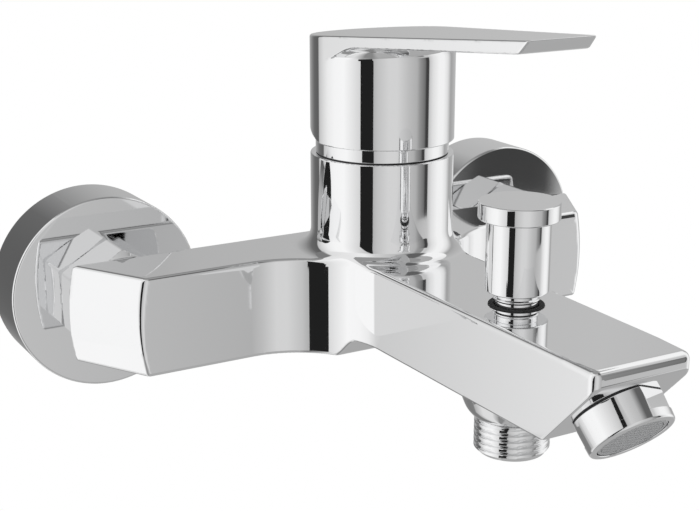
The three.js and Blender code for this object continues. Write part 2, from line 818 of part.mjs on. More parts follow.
function bladePlan() {
  const tipAngle = Math.atan2(handleTipHalf, handleTipReach);
  const tangent = Math.acos(handleRadius / Math.hypot(handleTipHalf, handleTipReach));
  const start = tipAngle + tangent;
  const outline = [[handleTipHalf, -handleTipReach]];
  const steps = 34;
  for (let i = 0; i <= steps; i += 1) {
    const angle = start + (i / steps) * 2 * (Math.PI - start);
    outline.push([handleRadius * Math.sin(angle), -handleRadius * Math.cos(angle)]);
  }
  outline.push([-handleTipHalf, -handleTipReach]);
  return outline;
}

function bladeSide() {
  const mitreReach = handleTipReach - handleTipMitre;
  return [
    [handleRadius, handleTop(-handleRadius) - bladeThickness],
    [handleRadius, handleTop(-handleRadius)],
    [-handleTipReach, handleTop(handleTipReach)],
    [-mitreReach, handleTop(mitreReach) - bladeThickness],
  ];
}

function hubSide() {
  const back = handleRadius;
  return [
    [-back - bladeCornerRadius, 0],
    [0, 0],
    [back + past, skirtRelief * (back + past)],
    [back + past, handleTop(-back - past)],
    [-back - bladeCornerRadius, handleTop(back + bladeCornerRadius) - gap],
  ];
}

function hubOutline() {
  const under = handleTop(handleRadius) - bladeThickness;
  const outline = [[0, 0], [handleRadius, 0]];
  const steps = 5;
  for (let i = 0; i <= steps; i += 1) {
    const angle = (i / steps) * (Math.PI / 2);
    const radius = handleRadius + bladeCornerRadius * (1 - Math.cos(angle));
    outline.push([radius, under - bladeCornerRadius * (1 - Math.sin(angle))]);
  }
  outline.push([handleRadius + bladeCornerRadius, under + past], [handleRadius, under + past]);
  outline.push([handleRadius, handleTop(handleRadius) + past], [0, handleTop(handleRadius) + past]);
  return outline;
}

// y of the spindle's rear face at a height
function spindleBack(height) {
  return spindleWidth / 2 / Math.cos(halfTilt) - height * Math.tan(halfTilt);
}

const grubStart = spindleBack(grubScrewRise - grubPointRadius) + gap;

function handle() {
  const far = handleRadius + past;
  const plan = upright(bladePlan(), -past, handleTop(handleTipReach) + past);
  const blade = plan.intersect(sideways(bladeSide(), -far, far));
  const hub = turned(hubOutline(), fine).intersect(plan).intersect(sideways(hubSide(), -far, far));
  const cavity = rod(handleCavityRadius, -past, handleCavityRise, fine);
  const pocket = ring(handleBossRadius, handleRadius - handlePocketWall, 0, handlePocketRise, fine);
  const half = spindleWidth / 2 + gap;
  const socket = block(-half, half, -half, half, handleBossRadius - past, spindleLength + gap);
  const socketTurn = new THREE.Matrix4().makeRotationX(halfTilt);
  const screwHole = rod(grubScrewRadius + gap, 0, handleRadius + past, coarse);
  const plugHole = rod(plugRadius + gap, handleRadius - plugSeat - gap, handleRadius + past, coarse);
  const screwPlace = new THREE.Vector3(0, 0, grubScrewRise);
  return cut(
    join(blade, hub),
    cavity,
    pocket,
    socket.transform(socketTurn.elements),
    placed(join(screwHole, plugHole), screwPlace, axisY),
  );
}

function grubScrew() {
  const start = grubStart + grubPointLength;
  const end = start + grubScrewLength;
  const outline = [[0, grubStart], [grubPointRadius, grubStart], [grubScrewRadius, start]];
  outline.push([grubScrewRadius, end], [0, end]);
  const matrix = new THREE.Matrix4().makeTranslation(0, 0, end - grubScrewLength / 2);
  const hexSocket = prism(hexagon(2 * grubScrewHex), grubScrewLength / 2 + past, matrix);
  return cut(turned(outline, coarse), hexSocket);
}

function handlePlug() {
  const flat = Math.sqrt(handleRadius ** 2 - plugRadius ** 2) - plugRecess;
  return rod(plugRadius, handleRadius - plugSeat, flat, coarse);
}

const pivotFrame = frameAt(0, columnY, pivotZ);
addNode('handle', handle(), chrome(), pivotFrame);

const screwFrame = frameAt(0, columnY, pivotZ + grubScrewRise, axisY);
addNode('handle_grub_screw', grubScrew(), steel(), screwFrame);
addNode('handle_plug', handlePlug(), greyPlastic(), screwFrame);

// ------------------------------------------------------------- diverter

const diverterFrame = frameAt(0, diverterY, 0);
const stemHole = stemRadius + gap;
const stemSealTop = glandBottom + glandLip + gap + 2 * stemSealSection;
const neckBottom = stemSealTop + gap;
const knobBottom = armRise + knobNeckShown;
const knobTop = knobBottom + knobLength + knobCapHeight;
const stemTop = knobBottom + knobLength / 2;
const wiperOuter = knobNeckRadius + gap + wiperWidth;
const wiperBottom = glandTop - wiperHeight;
const glandSealZ = glandBottom + glandLip + glandSealSection + gap;

function knob() {
  const bead = (knobBottom + armRise) / 2;
  const capBottom = knobBottom + knobLength;
  const outline = [[stemHole, neckBottom], [knobNeckRadius, neckBottom]];
  outline.push([knobNeckRadius, bead - knobBeadHalf], [knobBeadRadius, bead]);
  outline.push([knobNeckRadius, bead + knobBeadHalf], [knobNeckRadius, knobBottom]);
  outline.push([knobRadius - knobEdge, knobBottom], [knobRadius, knobBottom + knobEdge]);
  outline.push([knobRadius, capBottom - knobGroove], [knobRadius - knobGroove, capBottom]);
  outline.push([knobCapRadius - knobEdge, capBottom], [knobCapRadius, capBottom + knobEdge]);
  outline.push([knobCapRadius, knobTop - knobEdge], [knobCapRadius - knobEdge, knobTop], [0, knobTop]);
  outline.push([0, stemTop + gap], [stemHole, stemTop + gap]);
  return turned(outline, medium);
}

function stem() {
  const headBottom = lowerSeat - stemHeadHeight;
  const outline = [[0, headBottom], [stemHeadRadius, headBottom], [stemHeadRadius, lowerSeat]];
  outline.push([stemRadius, lowerSeat], [stemRadius, stemTop], [0, stemTop]);
  return turned(outline, coarse);
}

function gland() {
  const grooveInner = glandRadius - 2 * glandSealSection - gap;
  const grooveHalf = glandSealSection + gap;
  const sealBore = stemHole + 2 * stemSealSection + gap;
  const outline = [[stemHole, glandBottom], [glandRadius, glandBottom]];
  outline.push([glandRadius, glandSealZ - grooveHalf], [grooveInner, glandSealZ - grooveHalf]);
  outline.push([grooveInner, glandSealZ + grooveHalf], [glandRadius, glandSealZ + grooveHalf]);
  outline.push([glandRadius, glandTop], [wiperOuter + gap, glandTop]);
  outline.push([wiperOuter + gap, wiperBottom - gap]);
  outline.push([knobNeckRadius + gap, wiperBottom - gap], [knobNeckRadius + gap, stemSealTop]);
  outline.push([sealBore, stemSealTop], [sealBore, glandBottom + glandLip]);
  outline.push([stemHole, glandBottom + glandLip]);
  return turned(outline);
}

function returnSpring() {
  const bottom = plateTop + gap + springWire;
  const top = glandBottom - gap - springWire;
  const steps = springTurns * 10;
  const points = [];
  for (let i = 0; i <= steps; i += 1) {
    const angle = (i / steps) * springTurns * 2 * Math.PI;
    const height = bottom + (i / steps) * (top - bottom);
    points.push(new THREE.Vector3(springRadius * Math.cos(angle), springRadius * Math.sin(angle), height));
  }
  const wire = new THREE.Shape(hexagon(springWire * Math.sqrt(3)).map(([x, y]) => new THREE.Vector2(x, y)));
  const path = new THREE.CatmullRomCurve3(points);
  return solid(new THREE.ExtrudeGeometry(wire, { extrudePath: path, steps, bevelEnabled: false }));
}

function outletNipple() {
  const threadTop = bossBottom - gap;
  const threadEnd = threadTop - outletThreadLength;
  const lead = threadDepth;
  const outline = [[outletBore, threadEnd], [halfInchRadius - threadDepth, threadEnd]];
  outline.push([halfInchRadius - threadDepth / 2, threadEnd + lead / 2]);
  outline.push(...threadOutline(halfInchRadius, threadEnd + lead, threadTop));
  outline.push([outletSpigotRadius, threadTop], [outletSpigotRadius, lowerSeat]);
  outline.push([outletSeatHole, lowerSeat]);
  outline.push([outletSeatHole, bossBottom], [outletBore, bossBottom - past]);
  return turned(outline, medium);
}

const springBore = springRadius + springWire + 2 * gap;
const plate = ring(stemHole, plungerRadius, plateTop - plungerPlate, plateTop);
const upperSeal = ring(springBore, plungerRadius, upperSealTop - sealDisc, upperSealTop);
const lowerSeal = ring(stemHole, plungerRadius, lowerSealTop - sealDisc, lowerSealTop);
const wiper = ring(knobNeckRadius + gap, wiperOuter, wiperBottom, glandTop);
const stemSealMiddle = stemHole + stemSealSection;
const stemSeal = roundRing(stemSealMiddle, stemSealSection, stemSealTop - stemSealSection, coarse);
const glandSeal = roundRing(glandRadius - glandSealSection, glandSealSection, glandSealZ);

addNode('diverter_knob', knob(), chrome(), diverterFrame);
addNode('diverter_stem', stem(), steel(), diverterFrame);
addNode('diverter_gland', gland(), chrome(), diverterFrame);
addNode('diverter_wiper', wiper, rubber(), diverterFrame);
addNode('diverter_stem_seal', stemSeal, rubber(), diverterFrame);
addNode('diverter_gland_seal', glandSeal, rubber(), diverterFrame);
addNode('diverter_spring', returnSpring(), steel(), diverterFrame);
addNode('diverter_upper_seal', upperSeal, rubber(), diverterFrame);
addNode('diverter_plunger', plate, brass(), diverterFrame);
addNode('diverter_lower_seal', lowerSeal, rubber(), diverterFrame);
addNode('shower_outlet', outletNipple(), chrome(), diverterFrame);

// -------------------------------------------------------------- aerator

// heights are distances out from the slanted face of the spout
const aeratorFrame = frameAt(...outletCentre.toArray(), outletWay);
const gasketBack = -(aeratorSeatDepth - gap);
const threadBack = gasketBack + aeratorGasket + gap;
const cageOuter = aeratorThreadRadius - aeratorWall;
const rimOpening = aeratorRimRadius - aeratorWall - gap;
const gridFace = aeratorLength - gridRecess;
const gridBack = gridFace - gridThickness;

function aeratorHousing() {
  const step = gridBack - gap;
  const outline = [[cageOuter + gap, threadBack], [aeratorThreadRadius, threadBack]];
  outline.push([aeratorThreadRadius, gap], [aeratorRadius, gap]);
  outline.push([aeratorRadius, aeratorLength - aeratorBand]);
  outline.push([aeratorRimRadius, aeratorLength - aeratorRimRound / 2]);
  outline.push([aeratorRimRadius - aeratorRimRound / 2, aeratorLength], [rimOpening, aeratorLength]);
  outline.push([rimOpening, step], [cageOuter + gap, step]);
  const far = 2 * aeratorRadius;
  const half = aeratorFlats / 2;
  const flatsEnd = aeratorLength - aeratorBand;
  const flats = [[half, far], [-far, -half]].map(([from, to]) => {
    return block(from, to, -far, far, gap - past, flatsEnd);
  });
  const turn = new THREE.Matrix4().makeRotationZ(aeratorFlatsAngle);
  return cut(turned(outline), ...flats.map((flat) => flat.transform(turn.elements)));
}

function aeratorGrid() {
  const rings = [[1, 0], [gridInnerCount, gridInnerReach], [gridOuterCount, gridOuterReach]];
  const slots = rings.flatMap(([count, reach]) => Array.from({ length: count }, (_, i) => {
    const angle = (i * 2 * Math.PI) / count;
    const centre = new THREE.Vector3(reach * Math.cos(angle), reach * Math.sin(angle), 0);
    return placed(rod(gridHoleRadius, gridBack - past, gridFace + past, 8), centre);
  }));
  return cut(rod(rimOpening - gap, gridBack, gridFace), ...slots);
}

function aeratorCage() {
  return ring(cageOuter - cageWall, cageOuter, threadBack + plateThickness + gap, gridBack - gap);
}

function jetPlate() {
  const holes = Array.from({ length: plateHoleCount }, (_, i) => {
    const angle = (i * 2 * Math.PI) / plateHoleCount;
    const reach = cageOuter / 2;
    const centre = new THREE.Vector3(reach * Math.cos(angle), reach * Math.sin(angle), 0);
    return placed(rod(plateHoleRadius, threadBack - past, threadBack + plateThickness + past, 8), centre);
  });
  return cut(rod(cageOuter, threadBack, threadBack + plateThickness), ...holes);
}

const gasketInner = cageOuter - cageWall;
const gasket = ring(gasketInner, aeratorThreadRadius, gasketBack, gasketBack + aeratorGasket);
addNode('aerator_housing', aeratorHousing(), chrome(), aeratorFrame);
addNode('aerator_gasket', gasket, rubber(), aeratorFrame);
addNode('aerator_jet_plate', jetPlate(), greyPlastic(), aeratorFrame);
addNode('aerator_cage', aeratorCage(), greyPlastic(), aeratorFrame);
addNode('aerator_grid', aeratorGrid(), greyPlastic(), aeratorFrame);

export default group;
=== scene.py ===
from functools import reduce
import json
from math import acos, atan2, copysign, cos, hypot, inf, pi, radians, sin, sqrt, tan
import bpy
import numpy as np
import openvdb
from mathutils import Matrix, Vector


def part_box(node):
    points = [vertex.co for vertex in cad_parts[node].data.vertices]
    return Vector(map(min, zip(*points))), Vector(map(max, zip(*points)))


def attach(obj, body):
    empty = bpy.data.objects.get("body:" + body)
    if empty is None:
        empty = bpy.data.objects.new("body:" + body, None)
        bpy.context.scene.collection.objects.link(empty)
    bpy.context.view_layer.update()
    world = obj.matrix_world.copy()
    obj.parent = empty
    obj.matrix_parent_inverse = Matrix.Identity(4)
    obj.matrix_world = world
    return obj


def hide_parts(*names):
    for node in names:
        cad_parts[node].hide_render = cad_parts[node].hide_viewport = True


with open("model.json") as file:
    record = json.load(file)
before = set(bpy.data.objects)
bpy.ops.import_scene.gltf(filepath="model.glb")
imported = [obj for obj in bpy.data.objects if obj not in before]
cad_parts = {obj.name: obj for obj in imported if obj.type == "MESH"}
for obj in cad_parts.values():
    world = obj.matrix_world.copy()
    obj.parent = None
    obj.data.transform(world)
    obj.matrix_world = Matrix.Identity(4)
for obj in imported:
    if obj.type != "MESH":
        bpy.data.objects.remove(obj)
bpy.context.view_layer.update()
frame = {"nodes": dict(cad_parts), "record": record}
mm = 0.001
tiny = 1e-9
print("frame loaded:", len(frame["nodes"]), "nodes")


# places, all in millimetres and taken from the frame
def nodeBox(name):
    low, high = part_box(name)
    return np.array(low) / mm, np.array(high) / mm


def nodeMiddle(name):
    low, high = nodeBox(name)
    return (low + high) / 2


def nodeRound(name):
    # a round node's lowest and highest corner, its middle and its radius
    low, high = nodeBox(name)
    return low, high, (low + high) / 2, (high[0] - low[0]) / 2


bodyLow, bodyHigh = nodeBox("mixer_body")
columnY = nodeMiddle("cover_ring")[1]
diverterY = nodeMiddle("diverter_knob")[1]
inletX = nodeMiddle("inlet_nipple_right")[0]
pivotZ = nodeMiddle("pivot_pin")[2]
slack = 0.3  # the frame's gap between pieces that touch

# camera: its place in metres, its angles in degrees
cameraView = dict(place=(-0.21686, -0.41636, 0.13228), azimuth=-29.96, elevation=16.21, lens=71.94,
                  sensor=36, near=0.01, far=50)


def makeCamera(view):
    data = bpy.data.cameras.new("camera")
    data.lens = view["lens"]
    data.sensor_width = view["sensor"]
    data.clip_start = view["near"]
    data.clip_end = view["far"]
    camera = bpy.data.objects.new("camera", data)
    bpy.context.scene.collection.objects.link(camera)
    camera.location = view["place"]
    camera.rotation_euler = (radians(90 - view["elevation"]), 0, radians(view["azimuth"]))
    bpy.context.scene.camera = camera


makeCamera(cameraView)
bpy.context.scene.view_settings.view_transform = "Standard"
print("camera placed")


# shader helpers, and the two groups that the finishes share
def feed(tree, node, inputs):
    # each input takes a plain value, or a link from another node's output
    for title, value in inputs.items():
        if isinstance(value, bpy.types.NodeSocket):
            tree.links.new(value, node.inputs[title])
        else:
            node.inputs[title].default_value = value


def addNode(tree, kind, inputs=None, **settings):
    node = tree.nodes.new("ShaderNode" + kind)
    for setting, value in settings.items():
        setattr(node, setting, value)
    feed(tree, node, inputs or {})
    return node


def newGroup(name, inputs):
    group = bpy.data.node_groups.new(name, "ShaderNodeTree")
    for title, default in inputs.items():
        socket = group.interface.new_socket(title, in_out="INPUT", socket_type="NodeSocketFloat")
        socket.default_value = default
    for title in ("Roughness", "Height", "Mask"):
        group.interface.new_socket(title, in_out="OUTPUT", socket_type="NodeSocketFloat")
    return group, group.nodes.new("NodeGroupInput").outputs, group.nodes.new("NodeGroupOutput")


def noiseOver(tree, coords, scale, detail=2.0):
    return addNode(tree, "TexNoise", {"Vector": coords, "Scale": scale, "Detail": detail}).outputs["Fac"]


def spreadNoise(tree, noise, given):
    # noise keeps mostly between 0.3 and 0.7, and comes out between the group's Smooth and Dull
    spread = addNode(tree, "MapRange", {"Value": noise, "From Min": 0.3, "From Max": 0.7,
                                        "To Min": given["Smooth"], "To Max": given["Dull"]})
    return spread.outputs["Result"]


def makeSkinGroup():
    # roughness that drifts over the surface, and a fine height for bump
    group, given, put = newGroup("surfaceSkin", dict(Scale=300, Smooth=0.03, Dull=0.08))
    coords = addNode(group, "TexCoord").outputs["Object"]
    fine = noiseOver(group, coords, given["Scale"], detail=3.0)
    broad = noiseOver(group, coords, scale=28.0)
    feed(group, put, {"Roughness": spreadNoise(group, broad, given), "Height": fine, "Mask": broad})
    return group


def makeTurnedGroup():
    # fine rings left by a lathe, stacked along the axis that Along picks: 0 upright, 1 into the wall
    group, given, put = newGroup("turnedRings", dict(Along=0, Rings=2600, Smooth=0.2, Dull=0.35))
    coords = addNode(group, "TexCoord").outputs["Object"]
    split = addNode(group, "SeparateXYZ", {"Vector": coords}).outputs
    pick = addNode(group, "Mix", {"Factor": given["Along"], "A": split["Z"], "B": split["Y"]})
    stack = addNode(group, "CombineXYZ", {"X": pick.outputs["Result"]})
    rings = noiseOver(group, stack.outputs["Vector"], given["Rings"])
    broad = noiseOver(group, coords, scale=60.0)
    feed(group, put, {"Roughness": spreadNoise(group, rings, given), "Height": rings, "Mask": broad})
    return group


def makeFinish(name, group, values, light, dark, metallic, bumpStrength, bumpDistance):
    material = bpy.data.materials.new(name)
    material.use_nodes = True
    tree = material.node_tree
    skin = addNode(tree, "Group", values, node_tree=group).outputs
    tint = addNode(tree, "Mix", {0: skin["Mask"], 6: (*light, 1), 7: (*dark, 1)}, data_type="RGBA")
    bump = addNode(tree, "Bump", {"Strength": bumpStrength, "Distance": bumpDistance,
                                  "Height": skin["Height"]})
    feed(tree, tree.nodes["Principled BSDF"], {"Base Color": tint.outputs[2], "Roughness": skin["Roughness"],
                                               "Metallic": metallic, "Normal": bump.outputs["Normal"]})
    return material


skinGroup = makeSkinGroup()
turnedGroup = makeTurnedGroup()
# each finish: name, group and its values, pale and dark colour, metal, bump strength and distance
finishValues = {
    "chrome": ("polishedChrome", skinGroup, dict(Scale=420, Smooth=0.025, Dull=0.05),
               (0.945, 0.947, 0.951), (0.93, 0.932, 0.937), 1.0, 0.02, 0.00002),
    "brass": ("turnedBrass", turnedGroup, dict(Along=1, Rings=2400, Smooth=0.18, Dull=0.34),
              (0.80, 0.62, 0.32), (0.70, 0.52, 0.25), 1.0, 0.15, 0.00003),
    "steel": ("turnedSteel", turnedGroup, dict(Along=0, Rings=3000, Smooth=0.16, Dull=0.3),
              (0.66, 0.67, 0.69), (0.56, 0.57, 0.59), 1.0, 0.12, 0.00003),
    "rubber": ("sealRubber", skinGroup, dict(Scale=2200, Smooth=0.55, Dull=0.75),
               (0.018, 0.018, 0.019), (0.032, 0.032, 0.034), 0.0, 0.25, 0.00004),
    "white_plastic": ("whiteAcetal", skinGroup, dict(Scale=1500, Smooth=0.36, Dull=0.5),
                      (0.86, 0.85, 0.81), (0.82, 0.81, 0.77), 0.0, 0.12, 0.00003),
    "grey_plastic": ("greyAcetal", skinGroup, dict(Scale=1500, Smooth=0.38, Dull=0.52),
                     (0.66, 0.665, 0.67), (0.62, 0.625, 0.635), 0.0, 0.12, 0.00003),
    "ceramic": ("lappedCeramic", skinGroup, dict(Scale=900, Smooth=0.1, Dull=0.2),
                (0.90, 0.89, 0.86), (0.87, 0.86, 0.82), 0.0, 0.05, 0.00002),
}
finishes = {slot: makeFinish(*values) for slot, values in finishValues.items()}
slotOf = {part["node"]: part["material_slot"] for part in frame["record"]["subparts"]}
print("finishes made:", len(finishes))

# mesh helpers
sharpAngle = radians(32)


def camelName(node):
    first, *others = node.split("_")
    return first + "".join(word.title() for word in others)


def addPiece(node, body, points, faces, normals=None, name=None, slot=None):
    # points in millimetres, normals for each face corner; a piece is named after its node, or by name
    name = name or camelName(node)
    slot = slot or slotOf[node]
    mesh = bpy.data.meshes.new(name)
    mesh.from_pydata((np.asarray(points) * mm).tolist(), [], faces)
    mesh.validate()
    mesh.shade_smooth()
    if normals is None:
        mesh.set_sharp_from_angle(angle=sharpAngle)
    else:
        mesh.normals_split_custom_set(np.asarray(normals, np.float32).tolist())
    piece = bpy.data.objects.new(name, mesh)
    bpy.context.scene.collection.objects.link(piece)
    mesh.materials.append(finishes[slot])
    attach(piece, body)
    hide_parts(node)
    print("made", name, len(mesh.polygons), "faces")


def rounded(points, rounds):
    # an outline with the round of each of its corners
    return [(*point, edge) for point, edge in zip(points, rounds)]


def unit(vector):
    return vector / np.linalg.norm(vector)


def leftOf(direction):
    return np.array((-direction[1], direction[0]))


def roundedOutline(outline, arcSteps=6, straight=0.01):
    # closed outline of (radius, height, corner round) as points with the normals before and after each
    corners = np.array([(p[0], p[1]) for p in outline], float)
    rounds = [p[2] if len(p) > 2 else 0.0 for p in outline]
    area = np.sum(corners[:, 0] * np.roll(corners[:, 1], -1) - np.roll(corners[:, 0], -1) * corners[:, 1])
    if area < 0:
        corners = corners[::-1]
        rounds = rounds[::-1]
    made = []
    for i, corner in enumerate(corners):
        before = unit(corner - corners[i - 1])
        after = unit(corners[(i + 1) % len(corners)] - corner)
        turn = atan2(before[0] * after[1] - before[1] * after[0], before @ after)
        if rounds[i] == 0 or abs(turn) < straight:
            made.append((corner, -leftOf(before), -leftOf(after)))
            continue
        side = copysign(1, turn)
        start = corner - before * rounds[i] * tan(abs(turn) / 2)
        middle = start + side * rounds[i] * leftOf(before)
        for k in range(arcSteps + 1):
            angle = turn * k / arcSteps
            spin = np.array(((cos(angle), -sin(angle)), (sin(angle), cos(angle))))
            spoke = spin @ (start - middle)
            normal = side * spoke / rounds[i]
            made.append((middle + spoke, normal, normal))
    return made


def axisFrame(along):
    up = unit(np.array(along, float))
    across = unit(np.cross((0, 1, 0) if abs(up[1]) < 0.9 else (0, 0, 1), up))
    return across, np.cross(up, across), up


def joinRows(profile, rows, spokes, up, flats=None):
    # faces between neighbouring rows of points, with the outline's normals, or the face's own on flats
    starts = np.cumsum([0] + [len(row) for row in rows]).tolist()
    faces, normals = [], []
    for i in range(len(rows)):
        j = (i + 1) % len(rows)
        onAxis = len(rows[i]) == 1, len(rows[j]) == 1
        if all(onAxis):
            continue
        first = profile[i][2][0] * spokes[i] + profile[i][2][1] * up
        second = profile[j][1][0] * spokes[j] + profile[j][1][1] * up
        for k in range(len(first)):
            n = (k + 1) % len(first)
            if onAxis[0]:
                faces.append((starts[i], starts[j] + n, starts[j] + k))
                normals += [first[k], second[n], second[k]]
            elif onAxis[1]:
                faces.append((starts[i] + k, starts[i] + n, starts[j]))
                normals += [first[k], first[n], second[k]]
            else:
                faces.append((starts[i] + k, starts[i] + n, starts[j] + n, starts[j] + k))
                if flats and flats[i][k]:
                    normals += [unit(np.cross(rows[j][n] - rows[i][k], rows[j][k] - rows[i][n]))] * 4
                else:
                    normals += [first[k], first[n], second[n], second[k]]
    return np.concatenate(rows), faces, normals


def turnedShell(outline, centre, along=(0, 0, 1), segments=128, relief=None):
    # a lathe form: its points, its faces and the normal of each face corner
    profile = roundedOutline(outline)
    across, beside, up = axisFrame(along)
    angles = np.linspace(0, 2 * pi, segments, endpoint=False)
    spokes = np.cos(angles)[:, None] * across + np.sin(angles)[:, None] * beside
    rows = []
    for (reach, height), _, _ in profile:
        radius = np.full(1 if reach < tiny else segments, reach)
        if relief:
            radius = relief(radius, height, angles)
        rows.append(centre + radius[:, None] * spokes[:len(radius)] + up * height)
    points, faces, normals = joinRows(profile, rows, [spokes] * len(rows), up)
    return points, faces, None if relief else normals


def addTurned(node, body, outline, centre, along=(0, 0, 1), segments=128, name=None, slot=None):
    shell = turnedShell(outline, np.array(centre, float), along, segments)
    addPiece(node, body, *shell, name=name, slot=slot)


def joinShells(shells):
    points, faces, start = [], [], 0
    for shellPoints, shellFaces, _ in shells:
        points.append(shellPoints)
        faces += [tuple(start + corner for corner in face) for face in shellFaces]
        start += len(shellPoints)
    return np.concatenate(points), faces


# forms made from distances: negative inside, positive outside
def inAll(*sides):
    return reduce(np.maximum, sides)


def inAny(*solids):
    return reduce(np.minimum, solids)


def without(solid, *hollows):
    return np.maximum(solid, -inAny(*hollows))


def edgeWhere(radius, *sides):
    # the inside of all sides, with their edges rounded to this radius
    over = sum(np.maximum(side + radius, 0) ** 2 for side in sides)
    return np.minimum(inAll(*sides), -radius) + np.sqrt(over)


def filletJoin(radius, one, other):
    # both solids together, with a hollow fillet between them
    over = np.sqrt(np.maximum(radius - one, 0) ** 2 + np.maximum(radius - other, 0) ** 2)
    return np.maximum(np.minimum(one, other), radius) - over


def eased(share):
    return share * share * (3 - 2 * share)


def slopeAt(distance, points, reach=0.01):
    slope = np.empty_like(points)
    for axis in range(3):
        ahead, behind = points.copy(), points.copy()
        ahead[:, axis] += reach
        behind[:, axis] -= reach
        slope[:, axis] = (distance(*ahead.T) - distance(*behind.T)) / (2 * reach)
    return slope


def unitRows(rows):
    return rows / np.maximum(np.linalg.norm(rows, axis=1, keepdims=True), tiny)


# margin and band in grid steps; sharpBelow is the cosine between two normals that tells a sharp edge
carving = dict(margin=2.5, band=3, slab=24, settleRounds=4, leastSlope=0.05, sharpBelow=0.72)


def carvedShell(distance, low, high, step, flat):
    # a mesh of the zero surface of a distance, coarser where it is flat, with each vertex moved onto it
    margin, band, slab = carving["margin"] * step, carving["band"] * step, carving["slab"]
    low = np.array(low, float) - margin
    counts = np.ceil((np.array(high, float) + margin - low) / step).astype(int) + 1
    x, y, z = (low[i] + step * np.arange(counts[i]) for i in range(3))
    field = np.empty(counts, np.float32)
    for start in range(0, counts[0], slab):
        part = slice(start, start + slab)
        values = distance(x[part, None, None], y[None, :, None], z[None, None, :])
        field[part] = np.clip(values, -band, band)
    grid = openvdb.FloatGrid(band)
    grid.copyFromArray(field)
    points, triangles, quads = grid.convertToPolygons(isovalue=0, adaptivity=flat)
    points = points.astype(float) * step + low
    for _ in range(carving["settleRounds"]):
        slope = slopeAt(distance, points)
        size = np.maximum(np.sum(slope * slope, axis=1), carving["leastSlope"])
        move = (distance(*points.T) / size)[:, None] * slope
        length = np.linalg.norm(move, axis=1, keepdims=True)
        points -= move * np.minimum(1, step / np.maximum(length, tiny))
    return points, (triangles, quads)


def addCarved(node, body, distance, low, high, step, flat=0.003, name=None):
    # each face corner takes the form's own normal, or the face's where the form has a sharp edge
    points, shells = carvedShell(distance, low, high, step, flat)
    slopes = unitRows(slopeAt(distance, points))
    faces, normals = [], []
    for corners in shells:
        facing = unitRows(np.cross(points[corners[:, 2]] - points[corners[:, 0]],
                                   points[corners[:, -1]] - points[corners[:, 1]]))
        if np.sum(facing * slopes[corners[:, 0]]) < 0:
            corners, facing = corners[:, ::-1], -facing
        smooth = slopes[corners]
        near = np.einsum("fcs,fs->fc", smooth, facing) > carving["sharpBelow"]
        faces += corners.tolist()
        normals.append(np.where(near[:, :, None], smooth, facing[:, None, :]).reshape(-1, 3))
    addPiece(node, body, points, faces, np.concatenate(normals), name)


# mixer body: two arms, a column, a spout and its boss
bodyForm = dict(step=0.5, flat=0.006, edge=1.3, edgeFrom=10, lowEdge=0.8, lowEdgeTo=-6, noseEdge=2.2,
                noseEdgeReach=2, noseEdgeFade=12, cutEdge=0.8, topEdge=0.3, armDepth=23.9, armRise=15.1,
                armDrop=14.7, armEndPast=3, armEndBevel=30, armEndBulge=1.5, columnRadius=21.8,
                columnFlare=5.7, cornerFillet=27, spoutRootHalf=17.1, spoutTipHalf=15.4, spoutHeight=24,
                noseHeight=5, outletTilt=46, hubStepReach=10, hubStepLength=6.5, bossTop=15, bossEdge=12.9,
                bossFoot=11.2, bossDrop=5.3, bossFootHeight=1.9, bossRound=0.4, bossSink=0.6, bossFillet=0.6,
                glandRound=0.15, inletRound=0.4)
ways = dict(cross=6, crossFromFront=9.7, floor=8, cartridge=17.7, nutBore=19, nutSeat=38.2, nippleBore=11.4,
            nippleDepth=7.7, well=8, wellDepth=16.5, risingPort=3.6, risingX=8, risingY=7.5, mixedPort=3.2,
            mixedY=-9, channelHalf=7, channelHalfHeight=4.5, chamber=9, seatHole=5.5, upperSeat=4.5,
            seatThickness=1.5, seatOverlap=0.2, lowerSeat=-8.8, spigotBore=9.9, glandBore=8.5, lip=14.3,
            lipBore=7.4, passageHalf=6, passageLow=5.8, passageHigh=10, aeratorBore=9.5, aeratorDepth=6,
            overlap=1)

bodyBack = bodyHigh[1]
bodyFront = bodyBack - bodyForm["armDepth"]
tipY = bodyLow[1]
columnTop = bodyHigh[2]
armRise = bodyForm["armRise"]
spoutBottom = armRise - bodyForm["spoutHeight"]
noseBottom = armRise - bodyForm["noseHeight"]
seatTop = ways["upperSeat"] + ways["seatThickness"]
outletTilt = radians(bodyForm["outletTilt"])
outletWay = np.array((0, -sin(outletTilt), -cos(outletTilt)))
cutRun = (noseBottom - spoutBottom) / tan(outletTilt)
outletCentre = np.array((0, tipY + cutRun / 2, (noseBottom + spoutBottom) / 2))


def armEnd(side, y, z):
    # how far a point lies past an arm's bowed end face
    form = bodyForm
    bevel = radians(form["armEndBevel"])
    middle = (armRise - form["armDrop"]) / 2
    share = (z - middle) / ((armRise + form["armDrop"]) / 2)
    bow = form["armEndBulge"] * (1 - share ** 2)
    past = cos(bevel) * (side - inletX - form["armEndPast"]) - sin(bevel) * (y - bodyFront)
    hubHalf = form["spoutRootHalf"] + form["cornerFillet"]
    return np.where(side < hubHalf, -hubHalf, past - bow)


def spoutFloor(y, z):
    # how far a point lies under the body: the hub is deeper than the spout
    armDrop, length = bodyForm["armDrop"], bodyForm["hubStepLength"]
    share = np.clip((columnY - bodyForm["hubStepReach"] - y) / length, 0, 1)
    drop = spoutBottom + armDrop
    height = -armDrop + drop * (1 - np.cos(pi * share)) / 2
    slope = drop * pi / 2 * np.sin(pi * share) / length
    return (height - z) / np.sqrt(1 + slope ** 2)


